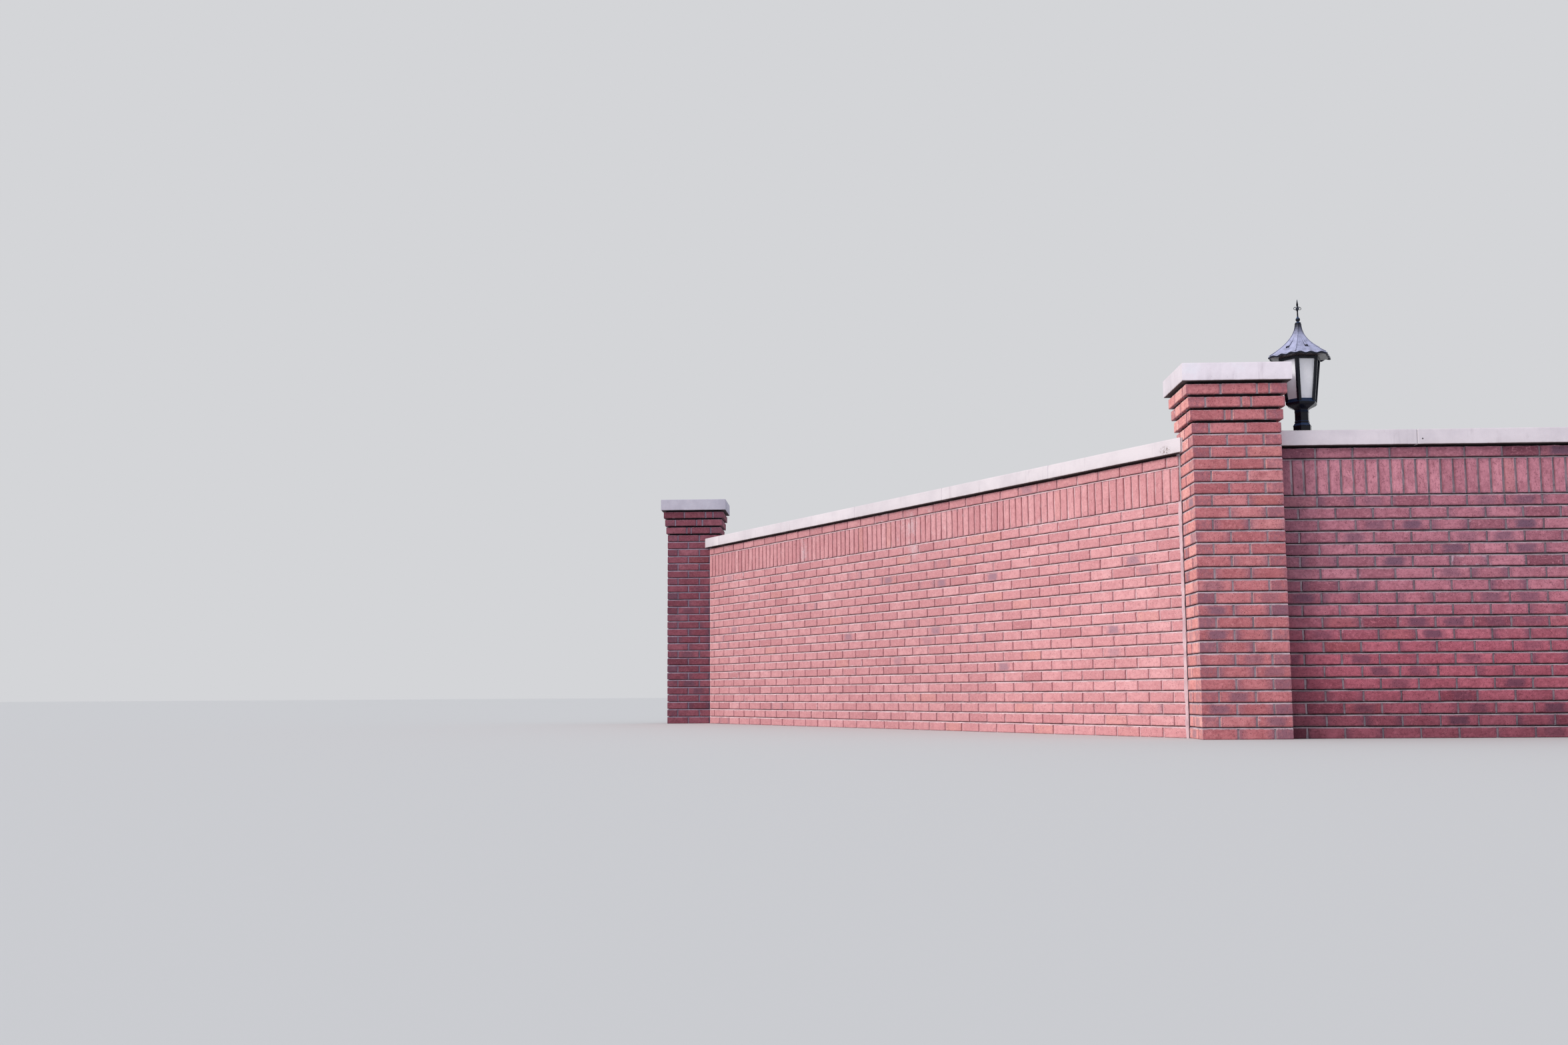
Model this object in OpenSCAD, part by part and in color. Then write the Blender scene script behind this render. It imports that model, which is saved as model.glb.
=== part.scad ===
// Brick garden wall: a straight bay and a canted bay that meet at a corner pier,
// with a pier at each far end. Each bay is one brick thick, with a soldier course
// near the top and a flat stone coping. Each pier steps out in three corbelled
// courses under a stone cap, and a lantern stands on the coping beside the
// corner pier.
// All sizes are in millimetres. The ground is at height zero.

/* [Bricks] */
// Length of a brick
brick_l = 194; // [180:1:240]
// Width of a brick, the thickness of one leaf
brick_w = 92; // [85:1:110]
// Height of a brick on its bed
brick_h = 57; // [50:1:75]
// Thickness of a mortar joint
joint = 10; // [6:1:16]

/* [Bays] */
// Stretchers along the clear face of a bay
bay_bricks = 31; // [14:1:40]
// Leaves of brick through a bay
bay_leaves = 2; // [2:1:3]
// Stretcher courses below the soldier course
field_courses = 20; // [8:1:24]
// Stretcher courses above the soldier course
crown_courses = 1; // [1:1:2]
// Angle between the two bays, seen from above
bay_angle = 120; // [110:1:150]
// Distance that the canted bay's axis lies outside the corner pier's centre
canted_shift = 61; // [35:1:90]
// Width of the far pier's front face that shows beside the canted bay
far_reveal = 386; // [250:1:420]
// Width of the sealed movement joint between a bay and a pier
seal_w = 12; // [8:1:20]
// Depth that the sealant lies behind the brick face
seal_recess = 6; // [2:1:15]

/* [Piers] */
// Half bricks along the front of a pier
pier_half_bricks = 5; // [5:1:7]
// Length that each half brick and its joint take up along a pier
pier_pitch = 99.6; // [92:0.2:110]
// Distance that a pier stands out from each face of the straight bay
pier_out = 107; // [85:1:130]
// Courses in a pier's shaft
shaft_courses = 26; // [25:1:32]
// Courses in a pier's corbelled head
corbel_courses = 3; // [1:1:4]
// Projection of each corbelled course beyond the one below
corbel_step = 11; // [5:1:15]
// Thickness of the bed joints in the head and under the cap
head_joint = 14; // [8:1:18]
// Depth that the bed joints of the head are raked back
rake = 5; // [2:1:8]
// Projection of the cap beyond the shaft
cap_lip = 56; // [45:1:80]
// Thickness of the cap
cap_t = 100; // [60:1:140]
// Width of the eased edges of caps and copings
arris = 3; // [1:1:8]

/* [Coping] */
// Thickness of the coping stones
coping_t = 85; // [60:1:110]
// Projection of the coping beyond each face of a bay
coping_lip = 37; // [25:1:60]
// Length of a whole coping stone
stone_l = 1213; // [900:1:1500]
// Joint between coping stones
stone_joint = 6; // [3:1:12]
// Distance from the corner pier to the first coping joint of the canted bay
canted_first = 1184; // [600:1:1300]
// Distance from the corner pier to the first coping joint of the straight bay
straight_first = 760; // [600:1:1200]
// Distance of the drip groove from the edge of the coping
drip_inset = 12; // [8:1:18]
// Width and depth of the drip groove
drip_w = 6; // [3:1:10]

/* [Lantern] */
// Gap between the corner pier's cap and the lantern's body
lamp_gap = 4; // [3:1:240]
// Turn of the six-sided lantern about its axis
lamp_turn = 7; // [0:1:30]
// Distance from the axis to a corner of the foot
foot_r = 54; // [45:1:80]
// Height of the foot
foot_h = 60; // [40:1:80]
// Distance from the axis to a corner of the neck
neck_r = 41; // [30:1:44]
// Height of the neck above the foot
neck_h = 65; // [40:1:100]
// Height of the swept cup under the body
cup_h = 46; // [30:1:70]
// Distance from the axis to a corner of the body at its bottom
body_low = 91; // [82:1:108]
// Distance from the axis to a corner of the body at its top
body_high = 122; // [112:1:140]
// Height of the body
body_h = 256; // [200:1:300]
// Width of the corner bars on each face, and of the top rail
bar_w = 14; // [10:1:20]
// Thickness of the opal panes
pane_t = 4; // [3:1:6]
// Distance from the axis to a corner of the eaves
roof_low = 183; // [165:1:210]
// Distance from the axis to a corner of the roof's flat top
roof_top = 24; // [16:1:36]
// Height of the swept roof
roof_h = 195; // [150:1:240]
// Depth of the eaves board
eaves_h = 12; // [8:1:20]
// Height of the finial
finial_h = 140; // [90:1:180]

/* [Hidden] */

// Brick modules
stretch = brick_l + joint;
course = brick_h + joint;
leaf = brick_w + joint;

// Bays
bay_t = bay_leaves * leaf - joint;
bricks_l = bay_bricks * stretch - joint;
straight_l = bricks_l + 2 * seal_w;
field_top = field_courses * course;
soldier_top = field_top + stretch;
crown_top = soldier_top + crown_courses * course;
coping_w = bay_t + 2 * coping_lip;
coping_top = crown_top + coping_t;

// Piers
pier_w = pier_half_bricks * pier_pitch - joint;
pier_d = bay_t + 2 * pier_out;
head_course = brick_h + head_joint;
shaft_top = shaft_courses * course - joint + head_joint;
head_top = shaft_top + corbel_courses * head_course;
cap_w = pier_w + 2 * cap_lip;
cap_d = pier_d + 2 * cap_lip;

// Plan, with the corner pier's centre at the plan's own zero
along = [cos(bay_angle), sin(bay_angle)];
outward = [-sin(bay_angle), cos(bay_angle)];
face_foot = outward * (canted_shift + bay_t / 2);
near_run = (pier_w / 2 + face_foot.x) / -along.x;
canted_l = seal_w / -along.x + bricks_l + seal_w / along.y;
far_meet = face_foot + along * (near_run + canted_l);
corner_at = [0, 0];
end_at = [pier_w + straight_l, 0];
far_at = [far_meet.x - far_reveal + pier_w / 2, far_meet.y + pier_d / 2];

// The part's own origin is the middle of its footprint
x_low = far_at.x - cap_w / 2;
x_high = end_at.x + cap_w / 2;
y_low = -cap_d / 2;
y_high = far_at.y + cap_d / 2;
middle = [(x_low + x_high) / 2, (y_low + y_high) / 2];

// A length that reaches past any piece
reach = 2 * (canted_l + pier_w);

brick_red = [0.58, 0.27, 0.25];
stone_pale = [0.82, 0.79, 0.79];
seal_grey = [0.66, 0.62, 0.62];
lamp_black = [0.08, 0.09, 0.12];
opal_white = [0.90, 0.91, 0.95];

// Moves the plan's zero to its place in the part's frame
module place() {
    translate([-middle.x, -middle.y, 0]) children();
}

// Quarter of the plan that the corner pier closes to the canted bay
module corner_quarter(gap) {
    translate([-pier_w / 2 - gap, pier_d / 2 + gap - reach, -1])
        cube([reach, reach, coping_top + 2]);
}

// Quarter of the plan that the far pier closes to the canted bay
module far_quarter(gap) {
    translate([far_at.x + pier_w / 2 + gap - reach, far_at.y - pier_d / 2 - gap, -1])
        cube([reach, reach, coping_top + 2]);
}

// Runs an upright outline along the canted bay, from pier centre to past the far pier
module canted_run(from, to) {
    rotate([0, 0, bay_angle])
        translate([from, canted_shift, 0])
            rotate([90, 0, 90])
                linear_extrude(height = to - from) children();
}

// Runs an upright outline along the straight bay
module straight_run(from, to) {
    translate([from, 0, 0])
        rotate([90, 0, 90])
            linear_extrude(height = to - from) children();
}

// Plain upright band of a bay, as an outline across the wall
module band(width, low, high) {
    translate([-width / 2, low]) square([width, high - low]);
}

// Outline of a coping stone across the wall, with eased edges and drip grooves
module coping_outline(inset = 0) {
    half = coping_w / 2 - inset;
    low = crown_top;
    high = coping_top - inset;
    difference() {
        polygon([
            [-half + arris, low], [half - arris, low], [half, low + arris],
            [half, high - arris], [half - arris, high], [-half + arris, high],
            [-half, high - arris], [-half, low + arris]
        ]);
        for (side = [-1, 1])
            translate([side * (coping_w / 2 - drip_inset - drip_w / 2), low])
                square([drip_w, 2 * drip_w], center = true);
    }
}

// Whole canted bay between its piers, as a run of the given outline
module canted_between(gap) {
    difference() {
        canted_run(0, near_run + canted_l + pier_w) children();
        corner_quarter(gap);
        far_quarter(gap);
    }
}

// Whole straight bay between its piers, as a run of the given outline
module straight_between(gap) {
    straight_run(pier_w / 2 + gap, pier_w / 2 + straight_l - gap) children();
}

// Joints of a coping, as distances from the corner pier's face
function coping_joints(first, length) = [
    for (at = first; at < length - stone_joint - seal_w; at = at + stone_l + stone_joint) at
];

// Slab of the given plan and thickness, centred on its own axis
module slab(width, depth, low, thickness) {
    translate([-width / 2, -depth / 2, low]) cube([width, depth, thickness]);
}

// Pier shaft
module pier_shaft(at) {
    color(brick_red)
        place() translate([at.x, at.y, 0])
            slab(pier_w, pier_d, 0, shaft_top);
}

// Corbelled head: each course steps out over the raked joint of the one below
module pier_corbel(at) {
    color(brick_red)
        place() translate([at.x, at.y, shaft_top])
            for (i = [0 : corbel_courses - 1]) {
                out = 2 * (i + 1) * corbel_step;
                low = i * head_course;
                slab(pier_w + out, pier_d + out, low, brick_h);
                slab(pier_w + out - 2 * rake, pier_d + out - 2 * rake, low + brick_h, head_joint);
            }
}

// Stone cap with eased edges
module pier_cap(at) {
    color(stone_pale)
        place() translate([at.x, at.y, head_top])
            hull() {
                slab(cap_w, cap_d, arris, cap_t - 2 * arris);
                slab(cap_w - 2 * arris, cap_d - 2 * arris, 0, cap_t);
            }
}

module far_pier_shaft() { pier_shaft(far_at); }
module far_pier_corbel() { pier_corbel(far_at); }
module far_pier_cap() { pier_cap(far_at); }
module corner_pier_shaft() { pier_shaft(corner_at); }
module corner_pier_corbel() { pier_corbel(corner_at); }
module corner_pier_cap() { pier_cap(corner_at); }
module end_pier_shaft() { pier_shaft(end_at); }
module end_pier_corbel() { pier_corbel(end_at); }
module end_pier_cap() { pier_cap(end_at); }

// Stretcher courses from the ground to the soldier course
module canted_bay_field() {
    color(brick_red) place() canted_between(seal_w) band(bay_t, 0, field_top);
}

// Bricks on end, one brick high
module canted_bay_soldiers() {
    color(brick_red) place() canted_between(seal_w) band(bay_t, field_top, soldier_top);
}

// Stretcher course that carries the coping
module canted_bay_crown() {
    color(brick_red) place() canted_between(seal_w) band(bay_t, soldier_top, crown_top);
}

// Coping stones, cut square along the bay and to the piers at its ends
module canted_coping_stones() {
    joints = coping_joints(canted_first, canted_l);
    color(stone_pale) place() difference() {
        canted_between(seal_w) coping_outline();
        for (at = joints)
            canted_run(near_run + at - stone_joint / 2, near_run + at + stone_joint / 2)
                band(coping_w + 2, crown_top - 1, coping_top + 1);
    }
}

// Mortar between the coping stones
module canted_coping_joints() {
    color(seal_grey) place()
        for (at = coping_joints(canted_first, canted_l))
            canted_run(near_run + at - stone_joint / 2, near_run + at + stone_joint / 2)
                coping_outline(arris);
}

// Sealed joint between the canted bay and a pier, behind the faces of bay and coping
module canted_seal_body() {
    difference() {
        union() {
            canted_run(0, near_run + canted_l + pier_w) band(bay_t - 2 * seal_recess, 0, crown_top);
            canted_run(0, near_run + canted_l + pier_w)
                band(coping_w - 2 * seal_recess, crown_top, coping_top - arris);
        }
        children();
    }
}

module canted_bay_near_seal() {
    color(seal_grey) place() intersection() {
        canted_seal_body() corner_quarter(0);
        corner_quarter(seal_w);
    }
}

module canted_bay_far_seal() {
    color(seal_grey) place() intersection() {
        canted_seal_body() far_quarter(0);
        far_quarter(seal_w);
    }
}

module straight_bay_field() {
    color(brick_red) place() straight_between(seal_w) band(bay_t, 0, field_top);
}

module straight_bay_soldiers() {
    color(brick_red) place() straight_between(seal_w) band(bay_t, field_top, soldier_top);
}

module straight_bay_crown() {
    color(brick_red) place() straight_between(seal_w) band(bay_t, soldier_top, crown_top);
}

module straight_coping_stones() {
    color(stone_pale) place() difference() {
        straight_between(seal_w) coping_outline();
        for (at = coping_joints(straight_first, straight_l))
            straight_run(pier_w / 2 + at - stone_joint / 2, pier_w / 2 + at + stone_joint / 2)
                band(coping_w + 2, crown_top - 1, coping_top + 1);
    }
}

module straight_coping_joints() {
    color(seal_grey) place()
        for (at = coping_joints(straight_first, straight_l))
            straight_run(pier_w / 2 + at - stone_joint / 2, pier_w / 2 + at + stone_joint / 2)
                coping_outline(arris);
}

// Sealed joint of the straight bay, starting at the given distance from the plan's zero
module straight_seal(from) {
    color(seal_grey) place() {
        straight_run(from, from + seal_w) band(bay_t - 2 * seal_recess, 0, crown_top);
        straight_run(from, from + seal_w)
            band(coping_w - 2 * seal_recess, crown_top, coping_top - arris);
    }
}

module straight_bay_near_seal() { straight_seal(pier_w / 2); }
module straight_bay_far_seal() { straight_seal(pier_w / 2 + straight_l - seal_w); }

// Lantern, from its foot on the coping to the tip of the finial
neck_top = foot_h + neck_h;
cup_top = neck_top + cup_h;
sill_h = 1.7 * bar_w;
rebate_h = sill_h - pane_t;
pane_gap = 0.3;
body_top = cup_top + body_h;
roof_peak = body_top + eaves_h + roof_h;

// Distance from the axis to a corner of the body, at a height above its bottom
function body_r(h) = body_low + (body_high - body_low) * h / body_h;

// Distance of the lantern's axis from the corner pier's centre: the body clears the cap's top edge
lamp_x = cap_w / 2 + lamp_gap
    + body_r(head_top + cap_t - coping_top - cup_top) * cos(lamp_turn);

module lamp_place(height) {
    place() translate([lamp_x, 0, coping_top + height])
        rotate([0, 0, lamp_turn]) children();
}

// Six-sided body whose size changes with height: rows are [height, distance from axis to corner]
module six_sided(rows) {
    n = len(rows);
    points = [for (row = rows) for (i = [0 : 5])
        [row[1] * cos(60 * i), row[1] * sin(60 * i), row[0]]];
    walls = [for (k = [0 : n - 2]) for (i = [0 : 5])
        [6 * k + 6 + i, 6 * k + 6 + (i + 1) % 6, 6 * k + (i + 1) % 6, 6 * k + i]];
    bottom = [for (i = [0 : 5]) i];
    top = [for (i = [0 : 5]) 6 * n - 1 - i];
    polyhedron(points, concat([bottom], walls, [top]), convexity = 4);
}

// Foot with a sloping shoulder, and the neck that it carries
module lantern_foot() {
    shoulder = (foot_r + neck_r) / 2;
    color(lamp_black) lamp_place(0)
        six_sided([[0, foot_r], [0.72 * foot_h, foot_r], [0.92 * foot_h, shoulder],
                   [foot_h, neck_r], [neck_top, neck_r]]);
}

// Swept cup from the neck out to the body
module lantern_cup() {
    steps = 8;
    low = 0.96 * neck_r;
    color(lamp_black) lamp_place(neck_top)
        six_sided([for (k = [0 : steps]) let (u = k / steps)
            [cup_h * u, low + (body_low - low) * (1 - cos(180 * u)) / 2]]);
}

// Distance that a corner moves in when the faces of a six-sided body move in by the given amount
function corner_in(face_in) = face_in / cos(30);

// Corner distance of the space inside the bars, where the panes stand
function glazed_r(h) = body_r(h) - corner_in(bar_w / 2 + pane_t);

// Body frame: corner bars that lean out, with a sill round the bottom and a rail round the top
module lantern_frame() {
    color(lamp_black) lamp_place(cup_top)
        difference() {
            six_sided([[0, body_low], [body_h, body_high]]);
            six_sided([[rebate_h, glazed_r(rebate_h)], [body_h + 1, glazed_r(body_h + 1)]]);
            for (turn = [0 : 60 : 120])
                rotate([0, 0, turn])
                    window_cut(body_r(sill_h) - 2 * bar_w, body_r(body_h - bar_w) - 2 * bar_w);
        }
}

// Tapered cut right through two opposite faces, from the sill to the top rail
module window_cut(low_w, high_w) {
    translate([0, body_high, 0])
        rotate([90, 0, 0])
            linear_extrude(height = 2 * body_high)
                polygon([
                    [-low_w / 2, sill_h], [low_w / 2, sill_h],
                    [high_w / 2, body_h - bar_w], [-high_w / 2, body_h - bar_w]
                ]);
}

// Opal panes, a tapered sleeve of sheet that stands in the sill's rebate behind the bars
module lantern_panes() {
    out = corner_in(pane_gap);
    inside = corner_in(pane_gap + pane_t);
    color(opal_white) lamp_place(cup_top)
        difference() {
            six_sided([[rebate_h, glazed_r(rebate_h) - out], [body_h, glazed_r(body_h) - out]]);
            six_sided([[rebate_h - 1, glazed_r(rebate_h - 1) - inside],
                       [body_h + 1, glazed_r(body_h + 1) - inside]]);
        }
}

// Corner distance of the roof, sweeping out to the eaves
function roof_r(u) = roof_top + (roof_low - roof_top) * pow(1 - u, 2);

module lantern_roof() {
    steps = 14;
    color(lamp_black) lamp_place(body_top)
        union() {
            six_sided([[0, roof_low - eaves_h], [eaves_h, roof_low]]);
            translate([0, 0, eaves_h])
                six_sided([for (k = [0 : steps]) [roof_h * k / steps, roof_r(k / steps)]]);
        }
}

// Turned finial with a ball, and four scrolls under its spike
module lantern_finial() {
    ball_r = roof_top / 2;
    ball_h = 1.7 * ball_r;
    rod_r = ball_r / 2.6;
    scroll_z = 0.62 * finial_h;
    scroll_r = 0.07 * finial_h;
    scroll_t = rod_r / 2;
    color(lamp_black) lamp_place(roof_peak) {
        rotate_extrude($fn = 32)
            polygon([
                [0, 0], [ball_r, 0], [ball_r, 0.2 * ball_h], [0.6 * ball_r, 0.4 * ball_h],
                [ball_r, 0.7 * ball_h], [ball_r, ball_h], [rod_r, 1.4 * ball_h],
                [rod_r, scroll_z - scroll_r], [2 * rod_r, scroll_z], [rod_r, scroll_z + scroll_r],
                [1.4 * rod_r, scroll_z + 2 * scroll_r], [0, finial_h]
            ]);
        for (turn = [0 : 90 : 270])
            rotate([0, 0, turn])
                translate([rod_r + scroll_r, 0, scroll_z])
                    rotate([90, 0, 0])
                        difference() {
                            cylinder(r = scroll_r + scroll_t, h = rod_r, center = true, $fn = 24);
                            cylinder(r = scroll_r - scroll_t, h = 2 * rod_r, center = true, $fn = 24);
                        }
    }
}

far_pier_shaft();
far_pier_corbel();
far_pier_cap();
corner_pier_shaft();
corner_pier_corbel();
corner_pier_cap();
end_pier_shaft();
end_pier_corbel();
end_pier_cap();
canted_bay_field();
canted_bay_soldiers();
canted_bay_crown();
canted_coping_stones();
canted_coping_joints();
canted_bay_near_seal();
canted_bay_far_seal();
straight_bay_field();
straight_bay_soldiers();
straight_bay_crown();
straight_coping_stones();
straight_coping_joints();
straight_bay_near_seal();
straight_bay_far_seal();
lantern_foot();
lantern_cup();
lantern_frame();
lantern_panes();
lantern_roof();
lantern_finial();
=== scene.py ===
"""Brick garden wall: bricks in struck mortar, cast stone copings and caps, sealed joints and a lantern."""
import logging
import math
from dataclasses import dataclass
from enum import Enum

import bpy
import numpy as np
from mathutils import Matrix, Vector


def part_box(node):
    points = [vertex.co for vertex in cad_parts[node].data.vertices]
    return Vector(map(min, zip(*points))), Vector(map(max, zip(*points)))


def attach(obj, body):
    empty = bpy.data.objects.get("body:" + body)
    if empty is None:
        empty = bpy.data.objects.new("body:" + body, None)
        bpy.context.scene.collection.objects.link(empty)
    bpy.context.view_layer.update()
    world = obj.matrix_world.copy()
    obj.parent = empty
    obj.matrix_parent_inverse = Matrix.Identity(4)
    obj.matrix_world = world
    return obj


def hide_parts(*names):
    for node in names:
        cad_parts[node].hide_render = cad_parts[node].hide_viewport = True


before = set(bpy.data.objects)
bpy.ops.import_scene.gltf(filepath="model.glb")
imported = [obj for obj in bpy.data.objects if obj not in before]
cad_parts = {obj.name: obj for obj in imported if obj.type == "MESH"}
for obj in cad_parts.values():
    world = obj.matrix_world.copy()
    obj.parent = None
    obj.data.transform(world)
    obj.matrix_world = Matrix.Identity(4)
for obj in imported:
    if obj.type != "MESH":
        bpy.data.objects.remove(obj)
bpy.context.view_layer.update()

Array = np.ndarray
Blocks = list[np.ndarray]
Shell = tuple[np.ndarray, list[np.ndarray]]
Colour = tuple[float, float, float]
Socket = bpy.types.NodeSocket
log = logging.getLogger("garden_wall")

MM = 0.001
COURSE = 67 * MM
BRICK_H = 57 * MM
STRETCH = 204 * MM
BRICK_L = 194 * MM
LEAF_W = 92 * MM
JOINT = 10 * MM
HEAD_JOINT = 14 * MM
FIELD_COURSES = 20
FIELD_TOP = FIELD_COURSES * COURSE
CROWN_LOW = 23 * COURSE + 3 * MM
SHAFT_COURSES = 26
HEAD_COURSES = 3
SEAL_W = 12 * MM
HEAD_DEPTH = -8.5 * MM
BED_DEPTH = -14 * MM
RAKED = -18 * MM
STONE_JOINT = 6 * MM
STONE_PITCH = 1219 * MM
UP = np.array([0.0, 0.0, 1.0])
RIGHT = np.array([1.0, 0.0, 0.0])
FRONT = np.array([0.0, -1.0, 0.0])


# Numbers and meshes

def wave_field(x: Array, y: Array, seed: int) -> Array:
    """Smooth random height over a plane: random values at whole numbers, with a cubic blend between them.

    Args:
        x: First coordinates, one cell to the unit.
        y: Second coordinates.
        seed: Choice of the random table.
    Returns:
        Values of about -1 to 1, in the shape of x.
    """
    table = np.random.default_rng(seed).uniform(-1.0, 1.0, (256, 256))
    i, j = np.floor(x).astype(int), np.floor(y).astype(int)
    u, v = x - i, y - j
    u, v = u * u * (3 - 2 * u), v * v * (3 - 2 * v)
    a, b = table[i % 256, j % 256], table[(i + 1) % 256, j % 256]
    c, d = table[i % 256, (j + 1) % 256], table[(i + 1) % 256, (j + 1) % 256]
    return (a * (1 - u) + b * u) * (1 - v) + (c * (1 - u) + d * u) * v


def facing_out(points: Array, blocks: Blocks) -> Blocks:
    """Turns the faces of a closed shell outwards, going by the sign of the volume inside them.

    Args:
        points: Corners of the shell.
        blocks: Its faces.
    Returns:
        The same blocks, or each face turned round.
    """
    centred = points - points.mean(axis=0)
    volume = 0.0
    for block in blocks:
        a = centred[block[:, 0]]
        for k in range(1, block.shape[1] - 1):
            b, c = centred[block[:, k]], centred[block[:, k + 1]]
            volume += float(np.einsum("ij,ij->", a, np.cross(b, c)))
    return [block[:, ::-1] for block in blocks] if volume < 0 else blocks


def put_mesh(name: str, points: Array, blocks: Blocks, smooth: bool = False) -> bpy.types.Object:
    """Puts a closed shell into the scene, with its faces turned outwards.

    Args:
        name: Piece name.
        points: Corner positions, in metres, of any shape that ends in three.
        blocks: Groups of faces, each (faces, corners).
        smooth: Shades the faces as one curved surface.
    Returns:
        The new object.
    """
    points = np.ascontiguousarray(points, dtype=np.float64).reshape(-1, 3)
    blocks = facing_out(points, blocks)
    corners = np.concatenate([block.ravel() for block in blocks]).astype(np.int32)
    counts = np.concatenate([np.full(len(block), block.shape[1]) for block in blocks])
    starts = np.concatenate([[0], np.cumsum(counts)[:-1]]).astype(np.int32)
    mesh = bpy.data.meshes.new(name)
    mesh.vertices.add(len(points))
    mesh.vertices.foreach_set("co", points.astype(np.float32).ravel())
    mesh.loops.add(len(corners))
    mesh.loops.foreach_set("vertex_index", corners)
    mesh.polygons.add(len(counts))
    mesh.polygons.foreach_set("loop_start", starts)
    mesh.polygons.foreach_set("use_smooth", np.full(len(counts), smooth))
    mesh.update(calc_edges=True)
    piece = bpy.data.objects.new(name, mesh)
    bpy.context.scene.collection.objects.link(piece)
    log.info("%s: %d corners, %d faces", name, len(points), len(counts))
    return piece


def give_attribute(piece: bpy.types.Object, name: str, values: Array) -> None:
    """Stores one vector, or one number, for each corner of a piece's mesh.

    Args:
        piece: The piece.
        name: Name of the attribute.
        values: A number or a row of three for each corner.
    """
    kind, key = ("FLOAT", "value") if values.ndim == 1 else ("FLOAT_VECTOR", "vector")
    data = piece.data.attributes.new(name, kind, "POINT").data
    data.foreach_set(key, np.ascontiguousarray(values, dtype=np.float32).ravel())


def tube_faces(rings: int, around: int, closed: bool = False) -> Blocks:
    """Faces of rings joined into a tube: a quad between each pair of neighbours, and a cap at each end.

    Args:
        rings: Number of rings.
        around: Corners in a ring.
        closed: Joins the last ring to the first in place of the caps.
    Returns:
        Blocks of faces.
    """
    k, i = np.meshgrid(np.arange(rings if closed else rings - 1), np.arange(around), indexing="ij")
    k, i = k.ravel(), i.ravel()
    here, after, beside = k * around, (k + 1) % rings * around, (i + 1) % around
    quads = np.stack([here + i, here + beside, after + beside, after + i], 1)
    if closed:
        return [quads]
    ring = np.arange(around)[None, :]
    return [quads, ring[:, ::-1], (rings - 1) * around + ring]


def folded_faces(rings: int, around: int) -> Blocks:
    """Faces of a tube whose ring is an outline that comes back beside itself: its ends close with quads.

    Args:
        rings: Number of rings.
        around: Corners in a ring, an even number.
    Returns:
        Blocks of faces.
    """
    i = np.arange(around // 2 - 1)
    cap = np.stack([i, i + 1, around - 2 - i, around - 1 - i], 1)
    return [tube_faces(rings, around)[0], cap[:, ::-1], cap + (rings - 1) * around]


def join_shells(shells: list[Shell]) -> Shell:
    """Puts several shells into one list of corners and faces, with each one turned outwards first.

    Args:
        shells: Pairs of corners and blocks of faces.
    Returns:
        All corners, and all blocks with their indices moved on.
    """
    points, blocks, count = [], [], 0
    for corners, faces in shells:
        corners = corners.reshape(-1, 3)
        points.append(corners)
        blocks.extend(block + count for block in facing_out(corners, faces))
        count += len(corners)
    return np.concatenate(points), blocks


# Materials

def linear(colour: Colour) -> tuple[float, ...]:
    """Turns a display colour of 0 to 255 into the linear colour that a shader takes.

    Args:
        colour: The display colour.
    Returns:
        The linear colour, with an alpha of one.
    """
    share = np.array(colour) / 255
    curve = np.where(share <= 0.04045, share / 12.92, ((share + 0.055) / 1.055) ** 2.4)
    return (*curve.tolist(), 1.0)


class Value:
    """What comes out of a node: a number, a vector or a colour. Each step with it adds a node."""

    def __init__(self, graph: "Graph", socket: Socket) -> None:
        """Keeps the graph and the output."""
        self.graph = graph
        self.socket = socket

    def __add__(self, other: "Value | float") -> "Value":
        """The sum of two numbers."""
        return self.graph.math("ADD", self, other)

    def __sub__(self, other: "Value | float") -> "Value":
        """One number less another."""
        return self.graph.math("SUBTRACT", self, other)

    def __mul__(self, other: "Value | float") -> "Value":
        """The product of two numbers."""
        return self.graph.math("MULTIPLY", self, other)

    def __abs__(self) -> "Value":
        """The size of a number."""
        return self.graph.math("ABSOLUTE", self)

    def most(self, other: "Value | float") -> "Value":
        """The larger of two numbers."""
        return self.graph.math("MAXIMUM", self, other)

    def least(self, other: "Value | float") -> "Value":
        """The smaller of two numbers."""
        return self.graph.math("MINIMUM", self, other)

    def span(self, low: float, high: float, to_low: float = 0.0, to_high: float = 1.0) -> "Value":
        """The number carried from one span to another along a smooth curve, held at the ends."""
        spans = dict(enumerate((self, low, high, to_low, to_high)))
        return self.graph.node("MapRange", 0, spans, interpolation_type="SMOOTHSTEP")

    def scaled(self, *factors: float) -> "Value":
        """The vector or colour times three factors."""
        return self.graph.vector("MULTIPLY", self, factors)

    def capped(self, *limits: float) -> "Value":
        """The colour with each of its three parts kept under a limit."""
        return self.graph.vector("MINIMUM", self, limits)

    def mix(self, amount: "Value", other: "Value | Colour") -> "Value":
        """The colour with a share of another mixed into it."""
        return self.graph.mix(amount, self, other)


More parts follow.
